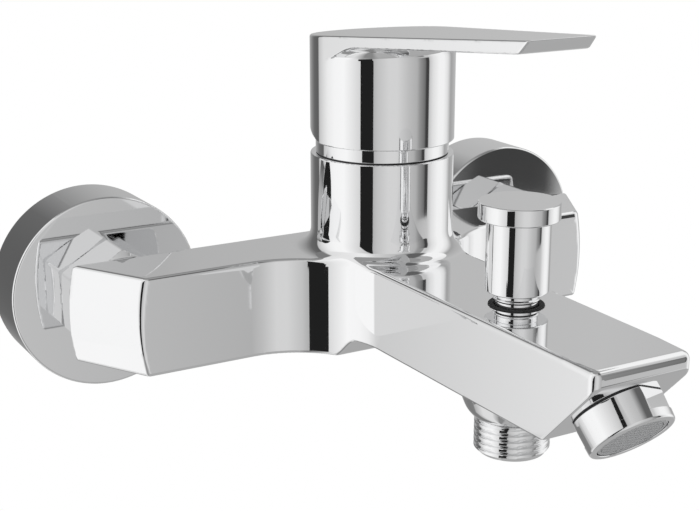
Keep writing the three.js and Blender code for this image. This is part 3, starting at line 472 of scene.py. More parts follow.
def bossDistance(x, y, z):
    form = bodyForm
    radius = np.hypot(x, y - diverterY)
    cone = unit(np.array((form["bossDrop"], form["bossEdge"] - form["bossTop"])))
    upper = (radius - form["bossTop"]) * cone[0] + (z - spoutBottom) * cone[1]
    foot = unit(np.array((form["bossFootHeight"], form["bossFoot"] - form["bossEdge"])))
    lower = (radius - form["bossEdge"]) * foot[0] + (z - spoutBottom + form["bossDrop"]) * foot[1]
    end = spoutBottom - form["bossDrop"] - form["bossFootHeight"] - z
    return edgeWhere(form["bossRound"], upper, lower, end, z - spoutBottom - form["bossSink"])


def boredOut(x, y, z, axisY, *bores):
    # what bores around an upright axis take away, each given as radius, bottom and top
    radius = np.hypot(x, y - axisY)
    return inAny(*(inAll(radius - bore, bottom - z, z - top) for bore, bottom, top in bores))


def cartridgeSeat(x, y, z):
    return boredOut(x, y, z, columnY, (ways["cartridge"], ways["floor"], inf),
                    (ways["nutBore"], ways["nutSeat"], inf))


def diverterWell(x, y, z):
    chamberFloor, overlap = ways["lowerSeat"] + slack, ways["seatOverlap"]
    return boredOut(x, y, z, diverterY, (ways["spigotBore"], -inf, chamberFloor),
                    (ways["chamber"], chamberFloor - overlap, ways["upperSeat"]),
                    (ways["seatHole"], ways["upperSeat"] - overlap, seatTop + overlap))


def glandHole(x, y, z):
    return boredOut(x, y, z, diverterY, (ways["glandBore"], seatTop, ways["lip"]),
                    (ways["lipBore"], seatTop, inf))


def inletHole(x, y, z):
    radius = np.hypot(np.abs(x) - inletX, z)
    return inAll(radius - ways["nippleBore"], bodyBack - ways["nippleDepth"] - y)


def hiddenWays(x, y, z):
    overlap = ways["overlap"]
    side = np.abs(x)
    fromColumn = y - columnY
    portTop = z - ways["floor"] - overlap
    crossY = bodyFront + ways["crossFromFront"]
    well = inAll(np.hypot(side - inletX, z) - ways["well"], bodyBack - ways["wellDepth"] - y)
    cross = inAll(np.hypot(y - crossY, z) - ways["cross"], side - inletX,
                  ways["risingX"] - ways["risingPort"] - side)
    rising = inAll(np.hypot(side - ways["risingX"], fromColumn - ways["risingY"]) - ways["risingPort"],
                   -z, portTop)
    mixed = inAll(np.hypot(x, fromColumn - ways["mixedY"]) - ways["mixedPort"], -z, portTop)
    channel = inAll(side - ways["channelHalf"], np.abs(z) - ways["channelHalfHeight"],
                    fromColumn - ways["mixedY"] - ways["mixedPort"],
                    diverterY + ways["chamber"] - overlap - y)
    passage = inAll(side - ways["passageHalf"], ways["passageLow"] - z, z - ways["passageHigh"],
                    y - diverterY + ways["seatHole"], outletCentre[1] - y)
    out = (y - outletCentre[1]) * outletWay[1] + (z - outletCentre[2]) * outletWay[2]
    across = (y - outletCentre[1]) * outletWay[2] - (z - outletCentre[2]) * outletWay[1]
    aerator = inAll(np.hypot(x, across) - ways["aeratorBore"], -ways["aeratorDepth"] - out)
    return inAny(cross, rising, mixed, channel, passage, aerator, well)


def bodyDistance(x, y, z):
    form = bodyForm
    side = np.abs(x)
    filletY = bodyFront - form["cornerFillet"]
    taper = (form["spoutRootHalf"] - form["spoutTipHalf"]) / (filletY - tipY)
    spoutSide = (side - form["spoutRootHalf"] - taper * (y - filletY)) / sqrt(1 + taper ** 2)
    wall = filletJoin(form["cornerFillet"], bodyFront - y, spoutSide)
    column = np.hypot(x, y - columnY) - form["columnRadius"]
    top = filletJoin(form["columnFlare"], column, z - armRise)
    slant = (y - tipY) * outletWay[1] + (z - noseBottom) * outletWay[2]
    edge = np.interp(z, (form["lowEdgeTo"], form["edgeFrom"]), (form["lowEdge"], form["edge"]))
    edge = edge + np.interp(y, (tipY + form["noseEdgeReach"], tipY + form["noseEdgeFade"]),
                            (form["noseEdge"] - form["edge"], 0))
    outside = edgeWhere(edge, wall, y - bodyBack, tipY - y, armEnd(side, y, z), top, spoutFloor(y, z))
    outside = edgeWhere(form["cutEdge"], outside, slant)
    outside = edgeWhere(form["topEdge"], outside, z - columnTop)
    outside = filletJoin(form["bossFillet"], outside, bossDistance(x, y, z))
    outside = edgeWhere(form["glandRound"], outside, -glandHole(x, y, z))
    outside = edgeWhere(form["inletRound"], outside, -inletHole(x, y, z))
    return without(outside, cartridgeSeat(x, y, z), diverterWell(x, y, z), hiddenWays(x, y, z))


addCarved("mixer_body", "root", bodyDistance, bodyLow, bodyHigh, bodyForm["step"], bodyForm["flat"])

# handle: a thin blade on a hollow hub
handleForm = dict(step=0.4, edge=0.7, lowerEdge=0.5, leastEdge=1e-4, edgeFadeFrom=4, edgeFade=8,
                  rimEdge=0.35, holeEdge=0.3, radius=21.8, topRise=32.1, topSlope=0.087, tipReach=85.5,
                  tipHalf=10.7, tipMitre=3.6, blade=3.5, underFillet=4.2, relief=0.321, cavityRadius=20.5,
                  cavityRise=13, pocketInner=11, pocketOuter=18.5, pocketRise=25.5, socketHalf=3.8,
                  socketFrom=10, socketTo=24.3, socketTilt=12.5, screwRise=18.5, screwHole=2.8, plugHole=3.7,
                  plugDepth=18.9)


def handleDistance(x, y, z):
    form = handleForm
    side = np.abs(x)
    reach = columnY - y
    height = z - pivotZ
    radius = np.hypot(x, reach)
    start = atan2(form["tipHalf"], form["tipReach"])
    start += acos(form["radius"] / hypot(form["tipHalf"], form["tipReach"]))
    forward = reach * sin(start) - side * cos(start)
    bladeSide = side * sin(start) + reach * cos(start) - form["radius"]
    hub = radius - form["radius"]
    plan = np.where(forward > 0, bladeSide, hub)
    level = hypot(1, form["topSlope"])
    top = (height - form["topRise"] - form["topSlope"] * reach) / level
    under = filletJoin(form["underFillet"], hub, -top - form["blade"])
    ramp = np.clip((forward - form["edgeFadeFrom"]) / form["edgeFade"], 0, 1)
    wall = edgeWhere(form["lowerEdge"] * eased(ramp) + form["leastEdge"], plan, under)
    tipTop = form["topRise"] + form["topSlope"] * form["tipReach"]
    rise = form["blade"] + form["topSlope"] * form["tipMitre"]
    lean = hypot(rise, form["tipMitre"])
    tip = ((reach - form["tipReach"]) * rise - (height - tipTop) * form["tipMitre"]) / lean
    outside = edgeWhere(form["edge"], wall, top, tip)
    rim = inAll(-height, (-form["relief"] * reach - height) / hypot(1, form["relief"]))
    outside = edgeWhere(form["rimEdge"], outside, rim)
    cavity = inAll(radius - form["cavityRadius"], height - form["cavityRise"])
    pocket = inAll(form["pocketInner"] - radius, radius - form["pocketOuter"], height - form["pocketRise"])
    lean = radians(form["socketTilt"])
    along = reach * sin(lean) + height * cos(lean)
    across = np.abs(reach * cos(lean) - height * sin(lean))
    socket = inAll(side - form["socketHalf"], across - form["socketHalf"], form["socketFrom"] - along,
                   along - form["socketTo"])
    fromScrew = np.hypot(x, height - form["screwRise"])
    screw = inAll(fromScrew - form["screwHole"], reach)
    plug = inAll(fromScrew - form["plugHole"], reach + form["plugDepth"])
    outside = edgeWhere(form["holeEdge"], outside, -plug)
    outside = edgeWhere(form["holeEdge"], outside, -cavity)
    return without(outside, pocket, socket, screw)


addCarved("handle", "lever", handleDistance, *nodeBox("handle"), handleForm["step"], name="leverHandle")

# fittings on the column: cover ring and handle plug
coverForm = dict(seam=0.26, seamShadeInset=0.15, seamShadeDepth=1, wall=1.2, chamfer=1.9, hole=15.8, innerBevel=0.9,
                 rounds=(0, 0.2, 0.6, 0.6, 0.2, 0, 0, 0))
plugForm = dict(dome=0.25, crown=0.6, crownDrop=0.05, rounds=(0, 0, 0.3, 2, 0))


def addCoverRing(form):
    _, high, _, outer = nodeRound("cover_ring")
    inner = outer - form["wall"]
    under = high[2] - form["wall"]
    bottom = columnTop + form["seam"]
    outline = [(inner, bottom), (outer, bottom), (outer, high[2] - form["chamfer"]),
               (outer - form["chamfer"], high[2]), (form["hole"], high[2]), (form["hole"], under),
               (inner - form["innerBevel"], under), (inner, under - form["innerBevel"])]
    addTurned("cover_ring", "root", rounded(outline, form["rounds"]), (0, columnY, 0), segments=160)
    # a black ring filling the seam between column and cover ring: painted shade of the gap's shadow line
    edge = outer - form["seamShadeInset"]
    inner -= form["seamShadeDepth"]
    outline = [(inner, columnTop), (edge, columnTop), (edge, bottom), (inner, bottom)]
    addTurned("cover_ring", "root", outline, (0, columnY, 0), name="coverSeamShade", slot="rubber")


def addHandlePlug(form):
    low, high, middle, radius = nodeRound("handle_plug")
    outline = [(0, low[1]), (radius, low[1]), (radius, high[1] - form["dome"]),
               (radius * form["crown"], high[1] - form["crownDrop"]), (0, high[1])]
    outline = rounded(outline, form["rounds"])
    addTurned("handle_plug", "lever", outline, (middle[0], 0, middle[2]), (0, 1, 0), 64)


addCoverRing(coverForm)
addHandlePlug(plugForm)

# screw threads
threadForm = dict(pitch=1.814, depth=0.85, rowsPerPitch=14, rootFlat=0.08, crestFlat=0.46, softness=0.35)


def threadRelief(crest, low, high, runOut, turnsBack=False):
    # the radius of a screw thread at a height; it fades to plain metal over the run-out at either end
    pitch, softness = threadForm["pitch"], threadForm["softness"]
    flank = 1 - threadForm["rootFlat"] - threadForm["crestFlat"]

    def relief(radius, height, angles):
        if height < low or height > high:
            return radius
        phase = (height / pitch + (-1 if turnsBack else 1) * angles / (2 * pi)) % 1
        ridge = 1 - 2 * np.abs(phase - 0.5)  # 0 at the root, 1 at the crest
        shape = np.clip((ridge - threadForm["rootFlat"]) / flank, 0, 1)
        shape = eased(shape) * softness + shape * (1 - softness)
        fade = 1
        for end, run in ((height - low, runOut[0]), (high - height, runOut[1])):
            fade = min(fade, end / run if run else 1)
        return np.minimum(radius, crest - threadForm["depth"] * (1 - shape) * fade)

    return relief


def threadRows(radius, start, end):
    step = threadForm["pitch"] / threadForm["rowsPerPitch"] * (1 if end > start else -1)
    count = int(abs((end - start) / step))
    return [(radius, start + step * (k + 0.5)) for k in range(count)]


# inlets: escutcheons, their seals, union nuts, eccentric unions and nipples
escutcheonForm = dict(wall=1.5, face=2, hole=13.52, rounds=(0.2, 0.8, 0.3, 0.4, 0.7, 0.4))
sealForm = dict(width=2.4, height=2.5, rounds=(0.3, 0.3, 0.4, 0.4))
unionForm = dict(flats=30, cornerRound=0.5, step=0.3, lip=3.2, threadBore=13.52, throat=11.4,
                 chamferEdge=0.15, throatEdge=0.25)
eccentricForm = dict(offset=-5, bore=7, boreEdge=0.3, flange=8, segments=96, wallThread=10.48,
                     wallChamfer=1.2, wallRowsTo=-0.5, wallPlainFrom=0.3, wallRunOut=2, front=13.22,
                     frontBore=8, frontFrom=0.4, frontBevel=0.6, frontThreadFrom=7, frontRunOut=1,
                     frontRowsFrom=7.5, frontRowsShort=1.3, frontChamfer=1.1)
nippleForm = dict(bore=8.4, tube=11.1, collar=2.7, rounds=(0.2, 0.3, 0.4, 0, 0.4, 0.3))
fromWall = (0, -1, 0)


def addFromWall(node, outline, rounds, segments=128):
    # a turned piece that stands out from the wall, with heights counted from the wall's face
    middle = nodeMiddle(node)
    addTurned(node, "root", rounded(outline, rounds), (middle[0], 0, middle[2]), fromWall, segments)


def addEscutcheon(form, side):
    node = "escutcheon_" + side
    low, high, _, outer = nodeRound(node)
    depth = high[1] - low[1]
    back, hole, inner = depth - form["face"], form["hole"], outer - form["wall"]
    outline = [(hole, back), (inner, back), (inner, 0), (outer, 0), (outer, depth), (hole, depth)]
    addFromWall(node, outline, form["rounds"], 192)


def addEscutcheonSeal(form, side):
    node = "escutcheon_seal_" + side
    outer, height = nodeRound(node)[3], form["height"]
    inner = outer - form["width"]
    addFromWall(node, [(inner, 0), (outer, 0), (outer, height), (inner, height)], form["rounds"])


def addUnionNut(form, side):
    low, high, middle, _ = nodeRound("union_nut_" + side)
    half = form["flats"] / 2
    corner = (high[2] - low[2]) / 2
    lean = unit(np.array((corner - half, 2 * (corner - half))))

    def nutDistance(x, y, z):
        across = x - middle[0]
        radius = np.hypot(across, z)
        angles = [k * pi / 3 for k in range(6)]
        hexagon = edgeWhere(form["cornerRound"],
                            *(across * cos(angle) + z * sin(angle) - half for angle in angles))
        ends = (low[1] - y, y - high[1])
        cones = [(radius - half) * lean[0] + end * lean[1] for end in ends]
        solid = edgeWhere(form["chamferEdge"], inAll(hexagon, *cones), inAll(*ends))
        thread = inAll(radius - form["threadBore"], low[1] + form["lip"] - y)
        return without(edgeWhere(form["throatEdge"], solid, form["throat"] - radius), thread)

    addCarved("union_nut_" + side, "root", nutDistance, low, high, form["step"])


def addEccentricUnion(form, side):
    low, high, middle, _ = nodeRound("eccentric_union_" + side)
    end, wallEnd = -low[1], -high[1]
    crest, bore = form["wallThread"], form["bore"]
    outline = [(bore, wallEnd, form["boreEdge"]), (crest - form["wallChamfer"], wallEnd)]
    outline += threadRows(crest, wallEnd + form["wallChamfer"], form["wallRowsTo"])
    outline += [(crest, form["wallPlainFrom"]), (crest, form["flange"]), (bore, form["flange"])]
    relief = threadRelief(crest, wallEnd, 0.0, (0, form["wallRunOut"]))
    centre = np.array((middle[0], 0, form["offset"]))
    wallShell = turnedShell(outline, centre, fromWall, form["segments"], relief)
    crest, bore, start = form["front"], form["frontBore"], form["frontFrom"]
    outline = [(bore, start), (crest - form["frontBevel"], start), (crest, start + form["frontBevel"])]
    outline += threadRows(crest, form["frontRowsFrom"], end - form["frontRowsShort"])
    outline += [(crest - form["frontChamfer"], end), (bore, end, form["boreEdge"])]
    relief = threadRelief(crest, form["frontThreadFrom"], end, (form["frontRunOut"], 0))
    centre = np.array((middle[0], 0, 0))
    frontShell = turnedShell(outline, centre, fromWall, form["segments"], relief)
    addPiece("eccentric_union_" + side, "root", *joinShells([wallShell, frontShell]))


def addInletNipple(form, side):
    node = "inlet_nipple_" + side
    low, high, _, collar = nodeRound(node)
    start, end, bore, tube = -high[1], -low[1], form["bore"], form["tube"]
    step = start + form["collar"]
    outline = [(bore, start), (collar, start), (collar, step), (tube, step), (tube, end), (bore, end)]
    addFromWall(node, outline, form["rounds"], 96)


for side in ("left", "right"):
    addEscutcheon(escutcheonForm, side)
    addEscutcheonSeal(sealForm, side)
    addUnionNut(unionForm, side)
    addEccentricUnion(eccentricForm, side)
    addInletNipple(nippleForm, side)

# diverter knob, its gland and wiper
knobForm = dict(neck=5.9, neckShown=4, bead=6.5, beadHalf=0.55, body=8.7, length=19.8, cap=11, groove=0.5,
                stemBore=2.5, stemDepth=17.7,
                rounds=(0, 0, 0.15, 0.3, 0.15, 0.2, 0.5, 0.1, 0.1, 0.5, 0.5, 0, 0, 0))
glandForm = dict(outer=8.2, top=14.2, topEdge=0.1, sealRise=1.8, sealHalf=0.8, sealDepth=1.3, knobBore=6.2,
                 knobFloor=2.4, stemSeat=3.9, stemSeatFloor=1, stemBore=2.5)
wiperForm = dict(inner=6.1, seat=7.3, flange=7.65, flangeLift=0.02, top=15.4, rounds=(0, 0, 0, 0, 0.25, 0.3))


def addDiverterKnob(form):
    low, high = nodeBox("diverter_knob")
    neck, body, cap, bore = form["neck"], form["body"], form["cap"], form["stemBore"]
    bottom = armRise + form["neckShown"]
    capBottom = bottom + form["length"]
    bead = (armRise + bottom) / 2
    boreTop = low[2] + form["stemDepth"]
    outline = [(bore, low[2]), (neck, low[2]), (neck, bead - form["beadHalf"]), (form["bead"], bead),
               (neck, bead + form["beadHalf"]), (neck, bottom), (body, bottom),
               (body, capBottom - form["groove"]), (body - form["groove"], capBottom), (cap, capBottom),
               (cap, high[2]), (0, high[2]), (0, boreTop), (bore, boreTop)]
    addTurned("diverter_knob", "diverter", rounded(outline, form["rounds"]), (0, diverterY, 0))


def addGland(form):
    bottom = nodeBox("diverter_gland")[0][2]
    wiperFloor = nodeBox("diverter_wiper")[0][2] - slack
    outer, seat = form["outer"], wiperForm["seat"]
    groove, grooveLow = outer - form["sealDepth"], bottom + form["sealRise"] - form["sealHalf"]
    grooveHigh = bottom + form["sealRise"] + form["sealHalf"]
    knobFloor, seatFloor = bottom + form["knobFloor"], bottom + form["stemSeatFloor"]
    outline = [(form["stemBore"], bottom), (outer, bottom), (outer, grooveLow), (groove, grooveLow),
               (groove, grooveHigh), (outer, grooveHigh), (outer, form["top"], form["topEdge"]),
               (seat, form["top"]), (seat, wiperFloor), (form["knobBore"], wiperFloor),
               (form["knobBore"], knobFloor), (form["stemSeat"], knobFloor),
               (form["stemSeat"], seatFloor), (form["stemBore"], seatFloor)]
    addTurned("diverter_gland", "root", outline, (0, diverterY, 0), segments=96)


def addWiper(form):
    bottom, lift = nodeBox("diverter_wiper")[0][2], armRise + form["flangeLift"]
    inner, seat, flange, top = form["inner"], form["seat"], form["flange"], form["top"]
    outline = [(inner, bottom), (seat, bottom), (seat, lift), (flange, lift), (flange, top), (inner, top)]
    addTurned("diverter_wiper", "root", rounded(outline, form["rounds"]), (0, diverterY, 0), segments=96)


addDiverterKnob(knobForm)
addGland(glandForm)
addWiper(wiperForm)

# shower outlet with its hose thread
outletForm = dict(bore=7, boreEdge=0.3, boreTop=1, crest=10.48, chamfer=1.1, tipInset=1.2, runOut=1.2,
                  runPast=0.1, spigot=9.6, seatHole=5)


def addShowerOutlet(form):
    low, high = nodeBox("shower_outlet")
    bossBottom = bodyLow[2]
    threadTop = bossBottom - slack
    crest = form["crest"]
    outline = [(form["bore"], low[2], form["boreEdge"]), (crest - form["tipInset"], low[2])]
    outline += threadRows(crest, low[2] + form["chamfer"], threadTop)
    outline += [(crest, threadTop), (form["spigot"], threadTop), (form["spigot"], high[2]),
                (form["seatHole"], high[2]), (form["seatHole"], bossBottom),
                (form["bore"], bossBottom - form["boreTop"])]
    relief = threadRelief(crest, low[2], threadTop + form["runPast"], (0, form["runOut"]), True)
    points, faces, _ = turnedShell(outline, np.array((0, diverterY, 0)), segments=144, relief=relief)
    addPiece("shower_outlet", "root", points, faces)


addShowerOutlet(outletForm)

# aerator: housing with two spanner flats, and its honeycomb face; heights run along the water's way out
aeratorForm = dict(radius=11.97, rim=11.41, length=9.06, neck=9.35, neckBack=-4, flats=19.8, flatsAngle=60,
                   band=2.8, bandStep=0.02, opening=9.51, bore=9,
                   rounds=(0, 0, 0, 0.2, 0, 0, 0.9, 0.3, 0, 0), sealInset=0.12)
gridForm = dict(back=7.26, face=8.56, cellPitch=0.95, web=0.38, cup=0.15, rim=0.8, rimRise=0.15,
                rounds=(0, 0, 0.1, 0.1), rimOverlap=0.7)
localAcross = np.array((1.0, 0, 0))
localUp = np.cross(outletWay, localAcross)


def flattedAngles(edge, flatSteps=20, arcSteps=64):
    # angles around a form with two flats, each of them reaching this angle to both sides
    flat = np.arctan(np.linspace(-1, 1, flatSteps, endpoint=False) * tan(edge))
    arc = np.linspace(edge, pi - edge, arcSteps, endpoint=False)
    half = np.concatenate([flat, arc])
    onFlat = np.arange(flatSteps + arcSteps) < flatSteps
    return np.concatenate([half, half + pi]), np.concatenate([onFlat, onFlat])


def addFlatted(node, outline, half, low, high, plainRadius, name=None, slot=None):
    # a turned form on the water's way out, with two flats between these heights
    profile = roundedOutline(outline)
    turn = radians(aeratorForm["flatsAngle"])
    flatWay = cos(turn) * localAcross + sin(turn) * localUp
    besideWay = np.cross(outletWay, flatWay)
    rows, spokes, cuts = [], [], []
    for (radius, height), _, _ in profile:
        cut = low < height < high and radius > half
        angles, onFlat = flattedAngles(acos(half / (radius if cut else plainRadius)))
        spoke = np.cos(angles)[:, None] * flatWay + np.sin(angles)[:, None] * besideWay
        reach = np.minimum(radius, half / np.abs(np.cos(angles))) if cut else np.full(len(angles), radius)
        rows.append(outletCentre + reach[:, None] * spoke + outletWay * height)
        spokes.append(spoke)
        cuts.append(cut)
    flats = [onFlat & (cut or after) for cut, after in zip(cuts, cuts[1:] + cuts[:1])]
    addPiece(node, "root", *joinRows(profile, rows, spokes, outletWay, flats), name, slot)


def addAeratorHousing(form):
    # the flats stop at a full band along the rim
    neck, length, opening, bore = form["neck"], form["length"], form["opening"], form["bore"]
    half = form["flats"] / 2
    bandStart = length - form["band"]
    taper = (form["radius"] - form["rim"]) / (length - slack)
    bandRadius = form["radius"] - taper * (bandStart - slack)
    seat = gridForm["back"] - slack
    outline = [(bore, form["neckBack"]), (neck, form["neckBack"]), (neck, slack), (form["radius"], slack),
               (bandRadius, bandStart), (bandRadius, bandStart + form["bandStep"]), (form["rim"], length),
               (opening, length), (opening, seat), (bore, seat)]
    outline = rounded(outline, form["rounds"])
    addFlatted("aerator_housing", outline, half, slack - tiny, bandStart + tiny, bandRadius)
    # a black seal ring in the gap behind the housing, reaching almost to its rim: partly a seal, partly
    # painted shade of the gap's dark line
    outer = form["radius"] - form["sealInset"]
    outline = [(neck, 0), (outer, 0), (outer, slack), (neck, slack)]
    addFlatted("aerator_housing", outline, half - form["sealInset"], -slack, 2 * slack, outer,
               "aeratorSeal", "rubber")


def gridCells(form, outer):
    # closed cups with hexagon rims, side by side
    points, faces = [], []
    corners = [np.array((cos(a), sin(a))) for a in np.arange(6) * pi / 3]
    pitch, top = form["cellPitch"], form["face"]
    full = pitch / sqrt(3)
    opening = full - form["web"] / sqrt(3)
    levels = ((full, top), (opening, top), (opening, top - form["cup"]), (full, form["back"]))
    count = int(outer / pitch) + 2
    for i in range(-count, count + 1):
        for j in range(-count, count + 1):
            middle = np.array((1.5 * full * i, pitch * (j + i / 2)))
            if np.linalg.norm(middle) > outer - pitch * form["rimOverlap"]:
                continue
            start = len(points)
            for size, height in levels:
                for corner in corners:
                    flat = middle + size * corner
                    spot = outletCentre + flat[0] * localAcross + flat[1] * localUp
                    points.append(spot + height * outletWay)
            for k in range(6):
                n = (k + 1) % 6
                faces.append((start + k, start + n, start + 6 + n, start + 6 + k))
                faces.append((start + 6 + k, start + 6 + n, start + 12 + n, start + 12 + k))
            faces.append(tuple(start + 12 + k for k in range(6)))
            faces.append(tuple(start + 23 - k for k in range(6)))
    return np.array(points), faces, None


def addAeratorGrid(form):
    outer = aeratorForm["opening"] - slack
    inner, back, face = outer - form["rim"], form["back"], form["face"] + form["rimRise"]
    rim = rounded([(inner, back), (outer, back), (outer, face), (inner, face)], form["rounds"])
    shells = [turnedShell(rim, outletCentre, outletWay, 96), gridCells(form, outer)]
    addPiece("aerator_grid", "root", *joinShells(shells))


addAeratorHousing(aeratorForm)
addAeratorGrid(gridForm)

for name, node in frame["nodes"].items():
    node.data.materials.clear()
    node.data.materials.append(finishes[slotOf[name]])
print("frame nodes finished")

# studio, in metres: a round light tent, a pale floor and a few cards
# light by azimuth in degrees, 0 in front and 90 on the right
leftLight = [(-180, 0.26), (-166, 0.14), (-149.5, 0.11), (-147.5, 0.56), (-135, 0.73), (-123, 0.88),
             (-108, 0.96), (-90, 0.98), (-75, 0.83), (-61, 0.68), (-42.6, 0.46), (-36, 0.56), (-20, 0.68),
             (-8, 0.68), (9, 0.53), (22, 0.45)]
rightLight = [(43, 0.57), (51, 0.78), (64, 0.94), (76, 0.94), (88, 0.78), (100, 0.37), (110, 0.43),
              (132, 0.53), (159, 0.46), (179, 0.28)]
roofLight = [(-180, 0.2), (-150, 0.2), (-140, 0.75), (-60, 0.88), (-40, 0.66), (0, 0.5), (20, 0.12),
             (46, 0.12)]
skirtShade = [(27, 0.31), (33, 0.2), (36, 0.2), (37, 0.61)]
wallShade = [(27, 0.3), (36, 0.16), (38, 0.05), (42.3, 0.05)]
shoulderShade = [(27, 0.3), (33, 0.28), (37, 0.28), (38, 0.61)]
tableEdgeLight = [(-180, 0.2), (-150, 0.2), (-145, 0.5), (-135, 0.65), (-123, 0.8), (-110, 0.98),
                  (-84, 0.98), (-69, 0.67), (-60, 0.37), (-45, 0.24), (-33, 0.4), (45, 0.4), (120, 0.5),
                  (140, 0.5), (165, 0.2)]
tableLight = [(-180, 0.2), (-150, 0.22), (-145, 0.46), (-110, 0.76), (-75, 0.76), (-60, 0.4), (-56, 0.25),
              (-42, 0.25), (-34, 0.42), (120, 0.4), (140, 0.5), (165, 0.22)]
tentRings = {  # the circles of its two edges as (radius, height), and its light
    "tentSkirt": ((0.9, -0.45), (0.9, -0.3), leftLight + skirtShade + rightLight),
    "tentHem": ((0.9, -0.3), (0.9, -0.19), leftLight + rightLight),
    "tentWall": ((0.9, -0.19), (0.9, 0.3), leftLight + wallShade + rightLight),
    "tentShoulder": ((0.9, 0.3), (0.9, 0.75), leftLight + shoulderShade + rightLight),
    "tentRoof": ((0.9, 0.75), (0.736, 0.942),
                 roofLight + [(54, 0.95), (100, 0.95), (128, 0.8), (142, 0.25), (179, 0.2)]),
    "tentRidge": ((0.736, 0.942), (0.6, 1.1),
                  roofLight + [(56, 0.42), (120, 0.42), (142, 0.25), (179, 0.2)]),
    "tableEdge": ((0.9, -0.44), (0.6, -0.44), tableEdgeLight),
    "tableSheet": ((0.6, -0.44), (0.001, -0.44), tableLight),
}
crownForm = dict(radius=0.6, hole=0.001, height=1.1, light=0.3)
blackSail = dict(radius=0.89, light=0.015, columns=8,
                 edges=[(-0.45, -66, -43.8), (-0.236, -66, -43.8), (-0.234, -61.8, -42.3),
                        (0.06, -61.8, -42.3), (0.48, -53, -42.6), (0.75, -46, -43)])
armCard = dict(left=-68.0, right=-30.5, ahead=3.1, light=0.7, edgeLight=0.98, edgeFrom=0.265,
               edgeBlend=0.03)  # sizes in millimetres, beside the arm that it stands before
floorForm = dict(half=12.0, height=-0.45, colour=0.9, roughness=0.7)
worldLight = 0.8


def grey(light):
    return (light, light, light, 1)


def glowMaterial(name, light=1):
    material = bpy.data.materials.new(name)
    material.use_nodes = True
    tree = material.node_tree
    tree.nodes.clear()
    glow = addNode(tree, "Emission", {"Color": grey(light)})
    addNode(tree, "OutputMaterial", {"Surface": glow.outputs["Emission"]})
    return material, tree, glow


def rampLight(tree, glow, value, stops):
    # the glow follows a value through stops of (value, light)
    rampNode = addNode(tree, "ValToRGB", {"Fac": value})
    ramp = rampNode.color_ramp
    while len(ramp.elements) < len(stops):
        ramp.elements.new(0.5)
    for k, (place, light) in enumerate(stops):
        ramp.elements[k].position = place
        ramp.elements[k].color = grey(light)
    feed(tree, glow, {"Color": rampNode.outputs["Color"]})


def mixShaders(tree, share, first, second):
    mix = addNode(tree, "MixShader", {0: share, 1: first, 2: second})
    feed(tree, tree.nodes["Material Output"], {"Surface": mix.outputs["Shader"]})


def addStage(name, points, faces, material, seen=False):
    mesh = bpy.data.meshes.new(name)
    mesh.from_pydata(points, [], faces)
    mesh.materials.append(material)
    card = bpy.data.objects.new(name, mesh)
    bpy.context.scene.collection.objects.link(card)
    card.visible_camera = seen


def onCircle(radius, angle, height):
    return (radius * sin(angle), -radius * cos(angle), height)


def ringBand(low, high, segments=96):
    # a band of quads between two circles, each given as (radius, height)
    points = [onCircle(radius, 2 * pi * k / segments, height)
              for radius, height in (low, high) for k in range(segments)]
    faces = [(k, (k + 1) % segments, segments + (k + 1) % segments, segments + k) for k in range(segments)]
    return points, faces


def addTentRing(name, low, high, bands):
    material, tree, glow = glowMaterial(name)
    coords = addNode(tree, "TexCoord").outputs["Object"]
    split = addNode(tree, "SeparateXYZ", {"Vector": coords}).outputs
    ahead = addNode(tree, "Math", {0: split["Y"], 1: -1}, operation="MULTIPLY")
    turn = addNode(tree, "Math", {0: split["X"], 1: ahead.outputs[0]}, operation="ARCTAN2")
    share = addNode(tree, "MapRange", {"Value": turn.outputs[0], "From Min": -pi, "From Max": pi})
    stops = [((azimuth + 180) / 360, light) for azimuth, light in bands]
    rampLight(tree, glow, share.outputs["Result"], stops)
    addStage(name, *ringBand(low, high), material)


def addCrown(form):
    points, faces = ringBand((form["hole"], form["height"]), (form["radius"], form["height"]))
    addStage("crownLight", points, faces, glowMaterial("crownLight", form["light"])[0])


def addBlackSail(form):
    # a tall black card before the wall of the tent; its edges are given as (height, left, right) azimuths
    columns = form["columns"]
    points, faces = [], []
    for height, left, right in form["edges"]:
        for azimuth in np.radians(np.linspace(left, right, columns + 1)):
            points.append(onCircle(form["radius"], azimuth, height))
    for row in range(len(form["edges"]) - 1):
        for k in range(columns):
            a = row * (columns + 1) + k
            faces.append((a, a + 1, a + columns + 2, a + columns + 1))
    addStage("blackSail", points, faces, glowMaterial("blackSail", form["light"])[0])


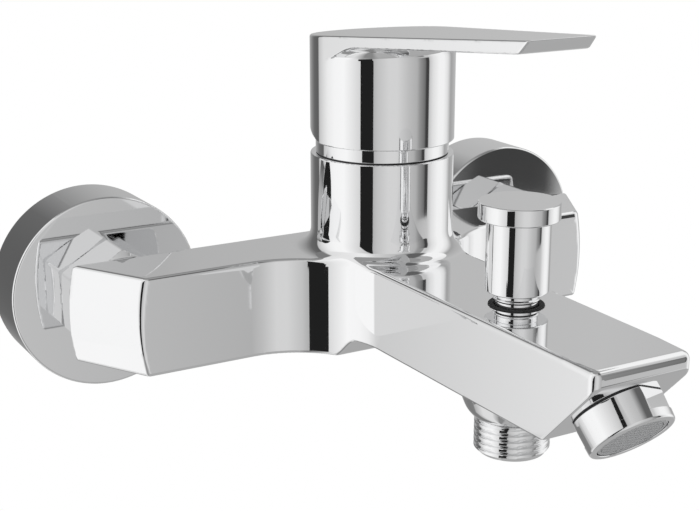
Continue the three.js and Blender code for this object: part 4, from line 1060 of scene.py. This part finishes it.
def addArmCard(form):
    # a card before the left arm that only lights the spout's side and the hollow beside it
    material, tree, glow = glowMaterial("armCard")
    weight = addNode(tree, "LayerWeight", {"Blend": 0.5})
    rampLight(tree, glow, weight.outputs["Facing"],
              [(form["edgeFrom"], form["light"]), (form["edgeFrom"] + form["edgeBlend"], form["edgeLight"])])
    clear = addNode(tree, "BsdfTransparent")
    back = addNode(tree, "NewGeometry").outputs["Backfacing"]
    mixShaders(tree, back, glow.outputs["Emission"], clear.outputs["BSDF"])
    y = bodyFront - form["ahead"]
    low, high, left, right = -bodyForm["armDrop"], armRise, form["left"], form["right"]
    corners = np.array([(left, y, low), (right, y, low), (right, y, high), (left, y, high)])
    addStage("armCard", corners * mm, [(0, 1, 2, 3)], material)


def pathMask(tree):
    # 1 for what the camera sees, straight or through metal and glass
    path = addNode(tree, "LightPath").outputs
    total = path["Is Camera Ray"]
    for ray in ("Is Glossy Ray", "Is Transmission Ray"):
        total = addNode(tree, "Math", {0: total, 1: path[ray]}, operation="ADD", use_clamp=True).outputs[0]
    return total


def addFloor(form):
    material = bpy.data.materials.new("paleFloor")
    material.use_nodes = True
    tree = material.node_tree
    plain = tree.nodes["Principled BSDF"]
    feed(tree, plain, {"Base Color": grey(form["colour"]), "Roughness": form["roughness"]})
    glow = addNode(tree, "Emission")
    mixShaders(tree, pathMask(tree), plain.outputs["BSDF"], glow.outputs["Emission"])
    half, height = form["half"], form["height"]
    corners = [(-half, -half, height), (half, -half, height), (half, half, height), (-half, half, height)]
    addStage("floor", corners, [(0, 1, 2, 3)], material, seen=True)


def addWorld(light):
    world = bpy.data.worlds.new("studio")
    bpy.context.scene.world = world
    world.use_nodes = True
    tree = world.node_tree
    mix = addNode(tree, "Mix", {0: pathMask(tree), 6: grey(light), 7: grey(1)}, data_type="RGBA")
    feed(tree, tree.nodes["Background"], {"Color": mix.outputs[2]})


for ring, (low, high, bands) in tentRings.items():
    addTentRing(ring, low, high, bands)
addCrown(crownForm)
addBlackSail(blackSail)
addArmCard(armCard)
addFloor(floorForm)
addWorld(worldLight)
print("studio set")
